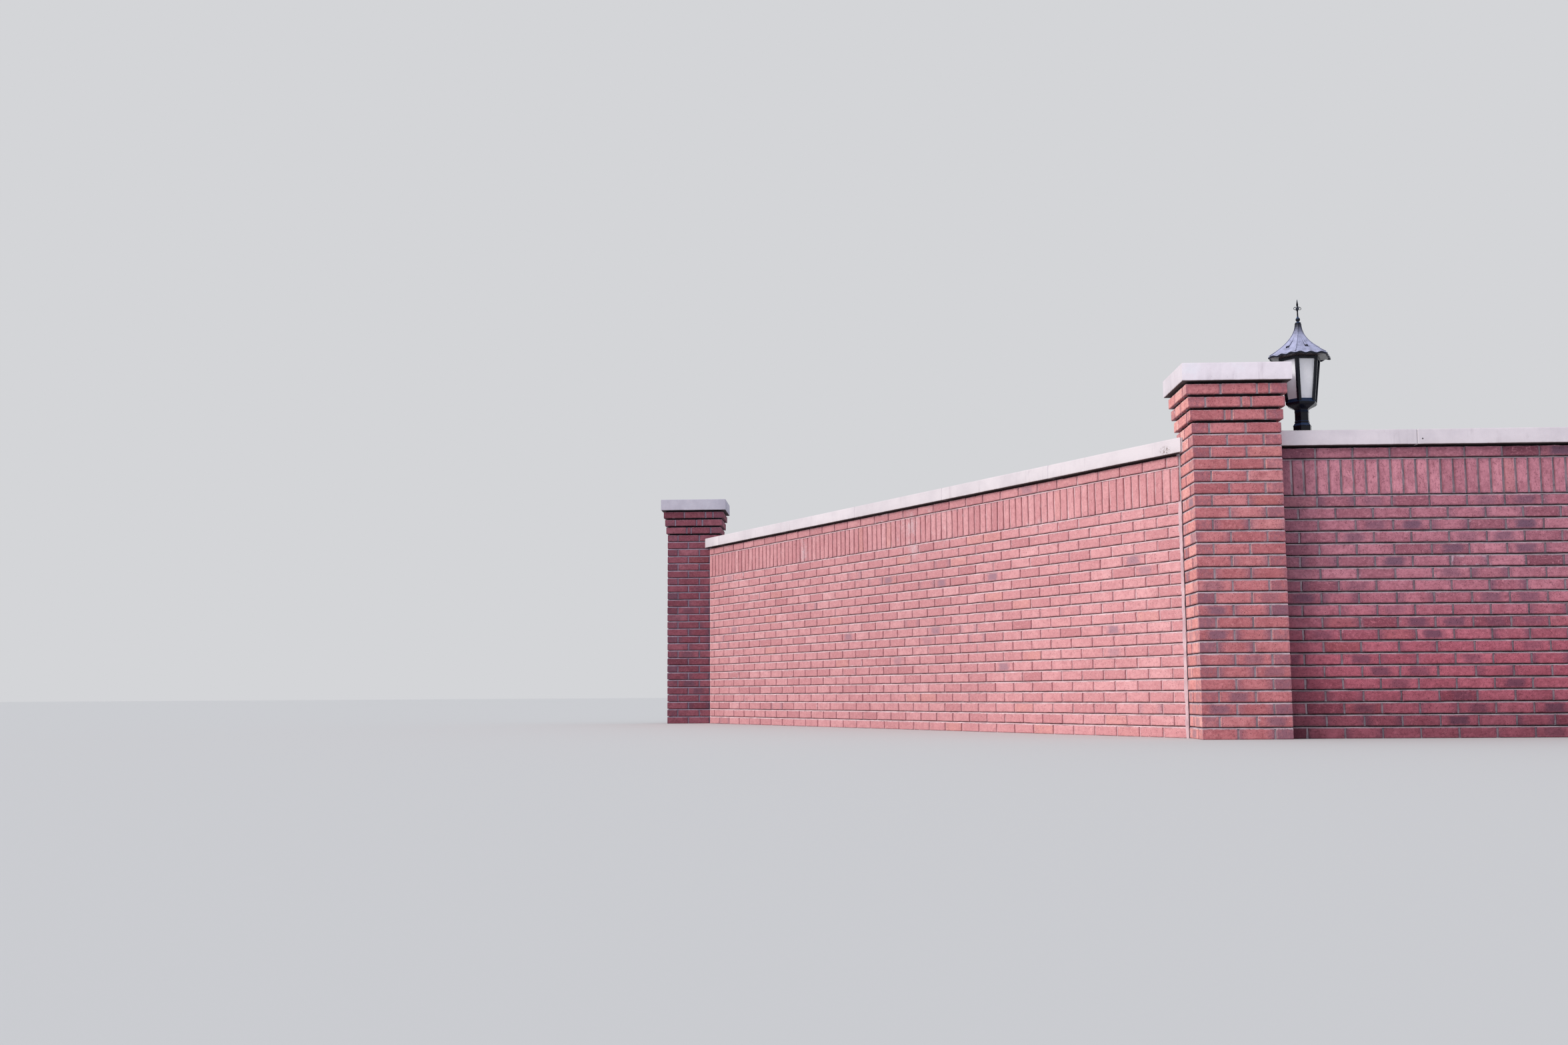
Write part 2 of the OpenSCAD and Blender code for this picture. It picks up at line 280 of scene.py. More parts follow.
class Graph:
    """A material's node tree, with short calls for the nodes that the finishes use."""

    def __init__(self, name: str) -> None:
        """Starts an empty material with a Principled shader.

        Args:
            name: Material name.
        """
        self.material = bpy.data.materials.new(name)
        self.material.use_nodes = True
        self.nodes = self.material.node_tree.nodes
        self.links = self.material.node_tree.links
        self.shader = self.nodes["Principled BSDF"]

    def feed(self, socket: Socket, value: object) -> None:
        """Links an input to a value, or sets it; a colour input takes a display colour.

        Args:
            socket: The input.
            value: What it gets.
        """
        if isinstance(value, Value):
            self.links.new(value.socket, socket)
        else:
            socket.default_value = linear(value) if socket.type == "RGBA" else value

    def node(self, kind: str, output: int | str, inputs: dict[int | str, object], **settings: str) -> Value:
        """Adds a node.

        Args:
            kind: Its type.
            output: The output that is wanted.
            inputs: What its inputs get, by number or name.
            settings: Its own settings.
        Returns:
            That output.
        """
        node = self.nodes.new(f"ShaderNode{kind}")
        for key, setting in settings.items():
            setattr(node, key, setting)
        for key, value in inputs.items():
            self.feed(node.inputs[key], value)
        return Value(self, node.outputs[output])

    def attribute(self, name: str, output: str = "Vector") -> Value:
        """Reads a named attribute of the mesh."""
        return self.node("Attribute", output, {}, attribute_name=name)

    def place(self) -> Value:
        """Object coordinates, in metres."""
        return self.node("TexCoord", "Object", {})

    def facing(self) -> tuple[Value, ...]:
        """The three numbers of the surface's normal."""
        return self.parts(self.node("NewGeometry", "Normal", {}))

    def math(self, kind: str, a: Value | float, b: Value | float = 0.0) -> Value:
        """One step of arithmetic."""
        return self.node("Math", 0, {0: a, 1: b}, operation=kind)

    def vector(self, kind: str, a: Value, b: Value | Colour) -> Value:
        """One step of vector arithmetic."""
        return self.node("VectorMath", 0, {0: a, 1: b}, operation=kind)

    def distance(self, vector: Value) -> Value:
        """The length of a vector."""
        return self.node("VectorMath", "Value", {0: vector}, operation="LENGTH")

    def parts(self, vector: Value) -> tuple[Value, ...]:
        """The three numbers of a vector.

        Args:
            vector: The vector.
        Returns:
            One value for each number.
        """
        node = self.nodes.new("ShaderNodeSeparateXYZ")
        self.feed(node.inputs[0], vector)
        return tuple(Value(self, output) for output in node.outputs)

    def noise(self, vector: Value, scale: float, detail: float = 3.0, rough: float = 0.55) -> Value:
        """Noise of the given scale, cells to the metre."""
        inputs = {"Vector": vector, "Scale": scale, "Detail": detail, "Roughness": rough}
        return self.node("TexNoise", 0, inputs)

    def cells(self, vector: Value, scale: float) -> Value:
        """Distance to the nearest of scattered points."""
        return self.node("TexVoronoi", "Distance", {"Vector": vector, "Scale": scale})

    def mix(self, amount: Value, a: Value | Colour, b: Value | Colour) -> Value:
        """Mixes two colours."""
        return self.node("Mix", 2, {0: amount, 6: a, 7: b}, data_type="RGBA")

    def ramp(self, value: Value, *colours: Colour) -> Value:
        """Colours at even steps along a scale.

        Args:
            value: Place along the scale, 0 to 1.
            colours: Colours from its start to its end.
        Returns:
            The colour at that place.
        """
        node = self.nodes.new("ShaderNodeValToRGB")
        band = node.color_ramp.elements
        while len(band) < len(colours):
            band.new(0.5)
        for k, colour in enumerate(colours):
            band[k].position = k / (len(colours) - 1)
            band[k].color = linear(colour)
        self.feed(node.inputs[0], value)
        return Value(self, node.outputs[0])

    def bump(self, height: Value, distance: float, strength: float = 1.0) -> Value:
        """Relief of the given depth in metres."""
        return self.node("Bump", 0, {"Strength": strength, "Distance": distance, "Height": height})

    def finish(self, colour: Value | Colour, roughness: Value | float, normal: Value | None = None,
               specular: float = 0.5) -> bpy.types.Material:
        """Joins colour, roughness and relief to the shader.

        Args:
            colour: Base colour.
            roughness: Roughness.
            normal: Normal with the relief in it, if there is any.
            specular: Specular level.
        Returns:
            The material.
        """
        inputs = {"Base Color": colour, "Roughness": roughness, "Specular IOR Level": specular}
        if normal is not None:
            inputs["Normal"] = normal
        for key, value in inputs.items():
            self.feed(self.shader.inputs[key], value)
        return self.material


# Colour of the painted shadow along the lower arrises of the bricks.
LOWER_ARRIS_SHADOW = (70, 38, 46)
PIT = (66, 36, 44)
LIME = (232, 210, 214)
# Colour of the painted shade on the straight bay beside the corner pier.
PIER_SHADE = (88, 62, 84)
PALE_SAND = (232, 226, 228)
WHITE_GRAIN = (246, 243, 243)
# Colour of the painted shade on the stones' undersides.
UNDERSIDE_SHADE = (50, 36, 35)
DRILLED = (40, 30, 34)


@dataclass(frozen=True)
class BrickFinish:
    """Dragface brick: red to salmon body, drawn streaks and pits, soft kiln flashes, pale worn upper arrises
    with a painted highlight, a painted shadow along the lower arrises, and painted sunlight and shade by
    place where its fields ask for them.
    """
    name: str
    deep: Colour
    body: Colour
    pale: Colour
    brown: Colour
    flash: Colour
    smear: Colour
    # rim sets the dark kiln flash at the brick ends and the painted shadow along the lower arrises.
    rim: float
    bloom: float = 0.0
    # Painted shade on the bay next to the corner pier.
    pier_shade: float = 0.0
    # Painted sunlight on the faces that look along -X.
    painted_sunlight: float = 0.0
    # Darkens and reddens the bricks towards the ground.
    low_darkening: float = 0.0
    shade: float = 0.0

    def clay(self, g: Graph, own: Value, drawn: Value, tone: Value, warmth: Value) -> Value:
        """The fired body: one tone to a brick, clouded within it, with streaks along the way it was drawn.

        Args:
            g: The material's graph.
            own: Coordinates within the brick, in metres.
            drawn: The same, drawn out along the brick.
            tone: The brick's tone, 0 to 1.
            warmth: Its warmth, 0 to 1.
        Returns:
            The clay's colour.
        """
        colour = g.ramp(tone, self.deep, self.body, self.pale)
        colour = colour.mix(warmth.span(0.95, 0.97, 0.0, 0.42), self.brown)
        colour = colour.mix(g.noise(own, 16.0, 4.0, 0.6).span(0.36, 0.66, 0.0, 0.42), self.deep)
        mottle = g.noise(own, 62.0, 5.0, 0.7)
        colour = colour.mix(mottle.span(0.52, 0.68, 0.0, 0.62), self.deep)
        colour = colour.mix(mottle.span(0.32, 0.46, 0.55, 0.0), self.pale)
        colour = colour.mix(g.noise(drawn, 170.0, 3.0, 0.6).span(0.52, 0.70, 0.0, 0.45), self.pale)
        return colour.mix(g.noise(drawn, 85.0, 4.0, 0.65).span(0.53, 0.70, 0.0, 0.52), self.deep)

    def burns(self, g: Graph, own: Value, tone: Value, flash: Value, u: Value, w: Value) -> Value:
        """How far the kiln has greyed a brick: its middle where flash is above zero, its ends where below.

        Args:
            g: The material's graph.
            own: Coordinates within the brick, in metres.
            tone: The brick's tone, 0 to 1.
            flash: Its flash, above or below zero.
            u: Share of its half length, -1 to 1.
            w: Share of its half height.
        Returns:
            Share of grey, 0 to 1.
        """
        ragged = (g.noise(own, 34.0, 4.0, 0.62) - 0.5) * 0.62
        across = (abs(u + (tone - 0.5) * 0.5) + ragged).span(0.28, 0.80, 1.0, 0.0)
        upright = (abs(w) + ragged).span(0.50, 1.12, 1.0, 0.0)
        middle = across * upright * flash.most(0.0)
        ends = (abs(u) + ragged).span(0.40, 1.02) * (flash * -1.0).most(0.0)
        return middle.most(ends)

    def pits(self, g: Graph, own: Value) -> Value:
        """Small pits drawn out along the brick, and a few wider pocks.

        Args:
            g: The material's graph.
            own: Coordinates within the brick, in metres.
        Returns:
            Share of pit, 0 to 1.
        """
        pits = g.cells(own.scaled(0.6, 1.0, 1.0), 210.0).span(0.10, 0.28, 1.0, 0.0)
        pits = pits * g.noise(own, 55.0, 2.0).span(0.44, 0.60)
        pocks = g.cells(own, 60.0).span(0.05, 0.12, 1.0, 0.0)
        return pits.most(pocks * g.noise(own, 21.0, 2.0).span(0.50, 0.58))

    def weathered(self, g: Graph, own: Value, colour: Value, u: Value, w: Value, q: Value) -> Value:
        """Adds pale grit, pale worn upper arrises with a painted highlight, dark ends, a painted shadow along
        the lower arrises, and smears near the edges.

        Args:
            g: The material's graph.
            own: Coordinates within the brick, in metres.
            colour: The colour so far.
            u: Share of its half length, -1 to 1.
            w: Share of its half height.
            q: Share of its half depth.
        Returns:
            The new colour.
        """
        colour = colour.mix(g.noise(own, 430.0, 2.0, 0.7).span(0.64, 0.75, 0.0, 0.50), self.smear)
        rough = g.noise(own, 42.0, 4.0, 0.7)
        ends = abs(u).span(0.80, 0.99) * rough.span(0.34, 0.58, 0.0, self.rim)
        colour = colour.mix(ends, self.flash)
        # Pale upper arrises: wear, with a painted highlight where light catches the top edge.
        upper = w.span(0.78, 0.96) * rough.span(0.36, 0.60, 0.0, 0.58)
        colour = colour.mix(upper, self.smear)
        # Painted shadow along the lower arris of each brick.
        colour = colour.mix(w.span(-0.66, -0.97, 0.0, self.rim), LOWER_ARRIS_SHADOW)
        smear = abs(u).least(abs(q)).most(abs(w)) * 0.55 + g.noise(own, 26.0, 5.0, 0.68)
        return colour.mix(smear.span(1.13, 1.24, 0.0, 0.50), self.smear)

    def outlined(self, g: Graph, own: Value, colour: Value, warmth: Value, u: Value, w: Value) -> Value:
        """Adds a ragged pale outline to the few bricks of least warmth.

        Args:
            g: The material's graph.
            own: Coordinates within the brick, in metres.
            colour: The colour so far.
            warmth: Its warmth, 0 to 1.
            u: Share of its half length, -1 to 1.
            w: Share of its half height.
        Returns:
            The new colour.
        """
        outline = abs(w).span(0.52, 0.80).most(abs(u).span(0.86, 0.94))
        outline = outline * warmth.span(0.0, 0.016, 0.46, 0.0)
        return colour.mix(outline * g.noise(own, 20.0, 4.0, 0.65).span(0.44, 0.60), self.smear)

    def darkened_low(self, g: Graph, own: Value, colour: Value, height: Value) -> Value:
        """Reddens the bricks from a metre above the ground downwards, and darkens the lowest courses.

        Args:
            g: The material's graph.
            own: Coordinates within the brick, in metres.
            colour: The colour so far.
            height: Height over the ground.
        Returns:
            The new colour.
        """
        height = height + (g.noise(own, 20.0, 3.0) - 0.5) * 0.25
        colour = colour.mix(height.span(1.0, 0.35, 0.0, self.low_darkening), colour.scaled(1.0, 0.66, 0.70))
        return colour.mix(height.span(0.45, 0.0, 0.0, self.low_darkening), colour.scaled(0.56, 0.60, 0.62))

    def aged(self, g: Graph, own: Value, colour: Value) -> Value:
        """Adds what depends on the place in the wall: lime, painted shade beside the corner pier, darker and
        redder bricks near the ground, painted shade towards the far end, and painted sunlight on faces that
        look along -X.

        Args:
            g: The material's graph.
            own: Coordinates within the brick, in metres.
            colour: The colour so far.
        Returns:
            The new colour.
        """
        place = g.place()
        x, y, z = g.parts(place)
        if self.bloom > 0:
            veil = g.noise(place, 2.6, 5.0, 0.68) + g.noise(own, 90.0, 3.0) * 0.25
            colour = colour.mix(veil.span(0.70, 0.88) * z.span(1.10, 1.32) * self.bloom, LIME)
        # Painted shade on the straight bay next to the corner pier.
        if self.pier_shade > 0:
            corner = x + g.noise(own, 30.0, 3.0) * 0.12
            colour = colour.mix(corner.span(-1.34, -1.06, self.pier_shade, 0.0), PIER_SHADE)
        # Darker and redder towards the ground.
        if self.low_darkening > 0:
            colour = self.darkened_low(g, own, colour, z)
        if self.shade > 0:
            colour = colour.mix(y.span(-2.2, 0.0, 0.0, self.shade), colour.scaled(0.87, 0.87, 0.88))
        # Painted sunlight: faces that look along -X are made paler.
        if self.painted_sunlight > 0:
            pale = colour.scaled(1.42, 1.80, 1.52).capped(0.90, 0.78, 0.80)
            colour = colour.mix(g.facing()[0].span(-0.35, -0.75, 0.0, self.painted_sunlight), pale)
        return colour

    def material(self) -> bpy.types.Material:
        """Builds the brick material; the patterns follow each brick through its own attributes.

        Returns:
            The material.
        """
        g = Graph(self.name)
        own = g.vector("ADD", g.attribute("brick_place"), g.attribute("brick_shift"))
        drawn = own.scaled(0.22, 1.0, 1.0)
        tone, flash, warmth = g.parts(g.attribute("brick_mix"))
        u, w, q = g.parts(g.attribute("brick_unit"))
        colour = self.clay(g, own, drawn, tone, warmth)
        colour = colour.mix(self.burns(g, own, tone, flash, u, w), self.flash)
        pits = self.pits(g, own)
        colour = self.weathered(g, own, colour.mix(pits * 0.62, PIT), u, w, q)
        colour = self.aged(g, own, self.outlined(g, own, colour, warmth, u, w))
        relief = g.noise(drawn, 300.0, 4.0, 0.65) * 0.5 + g.noise(own, 120.0, 5.0, 0.65) * 0.8 - pits * 1.2
        rough = g.noise(own, 22.0, 4.0, 0.6).span(0.3, 0.7, 0.80, 0.95)
        return g.finish(colour, rough, g.bump(relief, 3.0 * MM), specular=0.30)


@dataclass(frozen=True)
class MortarFinish:
    """Sandy struck mortar: pale at the weathered lower edge of a joint, darker up under the brick with
    painted shade and some soiling.
    """
    name: str
    pale: Colour
    grey: Colour
    dark: Colour

    def material(self) -> bpy.types.Material:
        """Builds the mortar material from the joint's own attribute of painted shade and soiling, and object
        coordinates.

        Returns:
            The material.
        """
        g = Graph(self.name)
        place = g.place()
        colour = g.mix(g.noise(place, 9.0, 5.0, 0.65).span(0.34, 0.66), self.grey, self.pale)
        sand = g.noise(place, 520.0, 3.0, 0.7)
        colour = colour.mix(sand.span(0.56, 0.74, 0.0, 0.45), self.dark)
        colour = colour.mix(sand.span(0.22, 0.40, 0.26, 0.0), PALE_SAND)
        # Painted shade with some soiling: darkest up under each brick and in raked joints.
        shade_and_soiling = g.attribute("joint_shade_and_soiling", "Fac") + (g.noise(place, 30.0, 4.0, 0.7) - 0.5) * 0.7
        colour = colour.mix(shade_and_soiling.span(0.28, 0.78, 0.0, 0.96), self.dark)
        relief = sand + g.noise(place, 110.0, 4.0, 0.6) * 1.4
        return g.finish(colour, 0.95, g.bump(relief, 1.6 * MM, 0.8), specular=0.20)


@dataclass(frozen=True)
class StoneFinish:
    """Cast stone: fine sandy grain, small air holes, faint run-off stains, and an underside that is soiled
    and darkened by painted shade.

    The faces that look along -Y are painted paler than the others, by the factor front.
    """
    name: str
    pale: Colour
    grey: Colour
    stain: Colour
    grime_and_shade: Colour
    front: float = 1.0
    smudge: Colour | None = None
    hole: Colour | None = None

    def marked(self, g: Graph, place: Value, colour: Value) -> Value:
        """Adds one scuffed smudge, 7 cm across, and one drilled hole, 9 mm across, at their places.

        Args:
            g: The material's graph.
            place: Object coordinates.
            colour: The colour so far.
        Returns:
            The new colour.
        """
        if self.smudge:
            away = g.distance(g.vector("SUBTRACT", place, self.smudge).scaled(1.0, 1.0, 1.7))
            scuff = g.noise(place, 95.0, 5.0, 0.72).span(0.47, 0.60)
            colour = colour.mix(away.span(0.018, 0.062, 1.0, 0.0) * scuff * 0.75, self.grime_and_shade)
        if self.hole:
            away = g.distance(g.vector("SUBTRACT", place, self.hole))
            colour = colour.mix(away.span(3.5 * MM, 5.5 * MM, 1.0, 0.0) * 0.9, DRILLED)
        return colour

    def material(self) -> bpy.types.Material:
        """Builds the stone material on object coordinates.

        Returns:
            The material.
        """
        g = Graph(self.name)
        place = g.place()
        cloud = g.noise(place, 3.4, 6.0, 0.62)
        colour = g.mix(cloud.span(0.34, 0.68), self.pale, self.grey)
        colour = colour.mix(g.attribute("stone_mix", "Fac") * 0.38, self.grey)
        grain = g.noise(place, 620.0, 3.0, 0.75)
        colour = colour.mix(grain.span(0.58, 0.76, 0.0, 0.40), self.stain)
        colour = colour.mix(grain.span(0.24, 0.40, 0.35, 0.0), WHITE_GRAIN)
        runs = g.noise(place.scaled(1.0, 1.0, 0.10), 26.0, 4.0, 0.6).span(0.52, 0.74)
        colour = colour.mix(runs * g.noise(place, 5.5, 4.0, 0.6).span(0.46, 0.64) * 0.42, self.stain)
        holes = g.cells(place, 95.0).span(0.05, 0.10, 1.0, 0.0) * g.noise(place, 17.0, 2.0).span(0.54, 0.62)
        colour = colour.mix(holes * 0.75, self.grime_and_shade)
        # Underside: soiling, and painted shade that darkens it almost to black.
        edge = g.attribute("stone_soiling_and_shade", "Fac")
        colour = colour.mix(edge * g.noise(place, 14.0, 5.0, 0.68).span(0.30, 0.62) * 0.70, self.grime_and_shade)
        colour = self.marked(g, place, colour.mix(edge.span(0.62, 0.98, 0.0, 0.93), UNDERSIDE_SHADE))
        # Painted light: faces that look along -Y are made paler by the factor front.
        if self.front > 1:
            painted_light_front = colour.scaled(self.front, self.front, 1.03 * self.front).capped(0.95, 0.93, 0.98)
            colour = colour.mix(g.facing()[1].span(-0.90, -0.98), painted_light_front)
        relief = grain * 0.5 + g.noise(place, 70.0, 5.0, 0.6) - holes * 1.6
        rough = cloud.span(0.3, 0.7, 0.78, 0.92)
        return g.finish(colour, rough, g.bump(relief, 0.9 * MM, 0.8), specular=0.30)


@dataclass(frozen=True)
class SealantFinish:
    """Gunned and sanded joint sealant, grey with paler smears and hairline cracks."""
    name: str
    pale: Colour
    grey: Colour
    crack: Colour

    def material(self) -> bpy.types.Material:
        """Builds the sealant material on object coordinates.

        Returns:
            The material.
        """
        g = Graph(self.name)
        place = g.place()
        cloud = g.noise(place.scaled(1.0, 1.0, 0.35), 24.0, 5.0, 0.65)
        colour = g.mix(cloud.span(0.38, 0.62), self.grey, self.pale)
        lines = g.noise(place.scaled(1.0, 1.0, 0.12), 85.0, 4.0, 0.6)
        crack = abs(lines - 0.5).span(0.0, 0.018, 1.0, 0.0) * g.noise(place, 6.0, 2.0).span(0.42, 0.58)
        colour = colour.mix(crack * 0.75, self.crack)
        grain = g.noise(place, 480.0, 3.0, 0.7)
        colour = colour.mix(grain.span(0.60, 0.78, 0.0, 0.30), self.crack)
        relief = grain + cloud * 2.0 - crack * 1.5
        return g.finish(colour, 0.88, g.bump(relief, 1.2 * MM, 0.8), specular=0.25)


@dataclass(frozen=True)
class CastMetalFinish:
    """Gloss black paint over cast aluminium, with dust and a painted sky sheen on the faces that look up."""
    name: str
    paint: Colour
    dust: Colour
    dust_and_sky_sheen: float

    def material(self) -> bpy.types.Material:
        """Builds the painted metal; dust and a painted sky sheen lie on upward faces, from Geometry's own
        normal.

        Returns:
            The material.
        """
        g = Graph(self.name)
        place = g.place()
        cloud = g.noise(place, 38.0, 5.0, 0.65)
        # Dust and a painted sky sheen on faces that look up, bluish on the body and pale on the roof.
        dust_and_sky_sheen = g.facing()[2].span(0.04, 0.62) * cloud.span(0.25, 0.62, 0.55, 1.0) * self.dust_and_sky_sheen
        specks = g.noise(place, 380.0, 3.0, 0.7).span(0.60, 0.74, 0.0, 0.22) * self.dust_and_sky_sheen
        colour = g.mix(dust_and_sky_sheen.most(specks), self.paint, self.dust)
        rough = dust_and_sky_sheen * 0.34 + cloud.span(0.3, 0.7, 0.20, 0.32)
        relief = g.noise(place, 210.0, 4.0, 0.6) + cloud * 1.2
        return g.finish(colour, rough, g.bump(relief, 0.35 * MM, 0.6), specular=0.28)


@dataclass(frozen=True)
class OpalFinish:
    """Opal acrylic pane, milky right through, a little dusty at its lower edge."""
    name: str
    milk: Colour
    dust: Colour

    def material(self) -> bpy.types.Material:
        """Builds the opal pane on object coordinates.

        Returns:
            The material.
        """
        g = Graph(self.name)
        place = g.place()
        cloud = g.noise(place, 16.0, 5.0, 0.6)
        low = g.parts(place)[2].span(1.90, 1.96, 1.0, 0.0) * cloud.span(0.35, 0.65)
        colour = g.mix(low * 0.45 + cloud.span(0.5, 0.75, 0.0, 0.16), self.milk, self.dust)
        g.shader.inputs["Subsurface Weight"].default_value = 0.25
        g.shader.inputs["Subsurface Radius"].default_value = (0.02, 0.02, 0.02)
        g.shader.inputs["Subsurface Scale"].default_value = 0.2
        return g.finish(colour, cloud.span(0.3, 0.7, 0.24, 0.36), g.bump(cloud, 0.2 * MM, 0.4))


@dataclass(frozen=True)
class Masonry:
    """Bricks of one stretch of wall and the mortar that they are laid in."""
    brick: BrickFinish
    mortar: MortarFinish


class WallFinish(Enum):
    """Brick and mortar colours for each stretch of wall: the canted bay's paler colours are painted sunlight,
    and the straight bay's and the far pier's darker colours are painted shade.
    """
    CANTED_SUNLIT = Masonry(
        BrickFinish("brick_canted_bay_sunlit", deep=(200, 132, 137), body=(226, 160, 163), pale=(240, 180, 182),
                    brown=(228, 158, 144), flash=(168, 130, 144), smear=(244, 224, 228), rim=0.22, bloom=0.75,
                    shade=1.0),
        MortarFinish("mortar_canted_bay_sunlit", (238, 209, 213), (216, 181, 186), (78, 40, 46)))
    STRAIGHT_SHADED = Masonry(
        BrickFinish("brick_straight_bay_shaded", deep=(138, 78, 94), body=(194, 124, 141), pale=(224, 150, 166),
                    brown=(192, 122, 120), flash=(112, 84, 106), smear=(224, 200, 214), rim=0.40, pier_shade=0.50,
                    low_darkening=0.92),
        MortarFinish("mortar_straight_bay_shaded", (188, 170, 180), (150, 134, 145), (16, 10, 13)))
    CORNER = Masonry(
        BrickFinish("brick_corner_pier", deep=(162, 86, 94), body=(211, 128, 134), pale=(230, 154, 158),
                    brown=(210, 130, 122), flash=(132, 96, 116), smear=(230, 208, 218), rim=0.42, painted_sunlight=1.0),
        MortarFinish("mortar_corner_pier", (210, 192, 202), (174, 156, 167), (26, 16, 21)))
    FAR_SHADED = Masonry(
        BrickFinish("brick_far_pier_shaded", deep=(108, 54, 68), body=(146, 82, 97), pale=(166, 104, 118),
                    brown=(156, 88, 88), flash=(100, 72, 90), smear=(188, 166, 180), rim=0.45),
        MortarFinish("mortar_far_pier_shaded", (178, 164, 184), (152, 138, 158), (26, 20, 28)))


STONE = StoneFinish("stone_cast", (229, 219, 223), (213, 204, 209), (176, 163, 169), (104, 80, 68),
                    front=1.10, smudge=(-1.952, -2.742, 1.634), hole=(-0.600, -3.040, 1.641)).material()
CAP_STONE = StoneFinish("stone_cap", (231, 221, 227), (217, 208, 214), (182, 170, 177), (104, 80, 68),
                        front=1.26).material()
SHADED_STONE = StoneFinish("stone_shaded", (204, 200, 214), (186, 182, 197), (138, 136, 156),
                           (70, 62, 66)).material()
JOINT_FILL = MortarFinish("mortar_coping_joints", (240, 234, 236), (220, 212, 217), (120, 108, 112))
SMEAR = MortarFinish("mortar_smeared", (232, 200, 204), (206, 172, 178), (84, 60, 68))
SEALANT = SealantFinish("sealant_smeared", (206, 184, 188), (166, 152, 158), (84, 70, 76))
PAINT = CastMetalFinish("metal_black_gloss_sky_sheen", (9, 12, 25), (52, 84, 134), 0.62)
ROOF_PAINT = CastMetalFinish("metal_black_dust_and_sky_sheen", (22, 25, 40), (178, 180, 212), 1.0)
# The soffit's brown-grey on the black paint is a painted reflection of bounce light.
SOFFIT_PAINTED_BOUNCE = CastMetalFinish("metal_soffit_painted_bounce", (58, 50, 50), (90, 84, 90), 0.3)
OPAL = OpalFinish("opal_acrylic", (246, 245, 252), (214, 210, 220))


def dress(piece: bpy.types.Object, material: bpy.types.Material, slot: str, *nodes: str) -> bpy.types.Object:
    """Gives a finished piece its material and body, and hides the CAD nodes that it stands for.

    Args:
        piece: The piece, in place.
        material: Its material.
        slot: Not used.
        nodes: CAD nodes that it replaces.
    Returns:
        The same piece.
    """
    piece.data.materials.clear()
    piece.data.materials.append(material)
    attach(piece, "root")
    if nodes:
        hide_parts(*nodes)
    return piece


# Plan

@dataclass(frozen=True)
class WallFace:
    """One upright brick face: a line on the ground, the way it looks, and where its bricks start and end."""
    foot: Array
    along: Array
    normal: Array
    start: float
    end: float

    def world(self, s: Array, z: Array, d: Array) -> Array:
        """Points at distance s along the face, height z and distance d in front of it."""
        return (self.foot + s[..., None] * self.along + z[..., None] * UP + d[..., None] * self.normal)


def node_centre(node: str) -> Array:
    """Middle of a CAD node's box in plan, at ground level."""
    low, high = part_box(node)
    return np.array([(low[0] + high[0]) / 2, (low[1] + high[1]) / 2, 0.0])


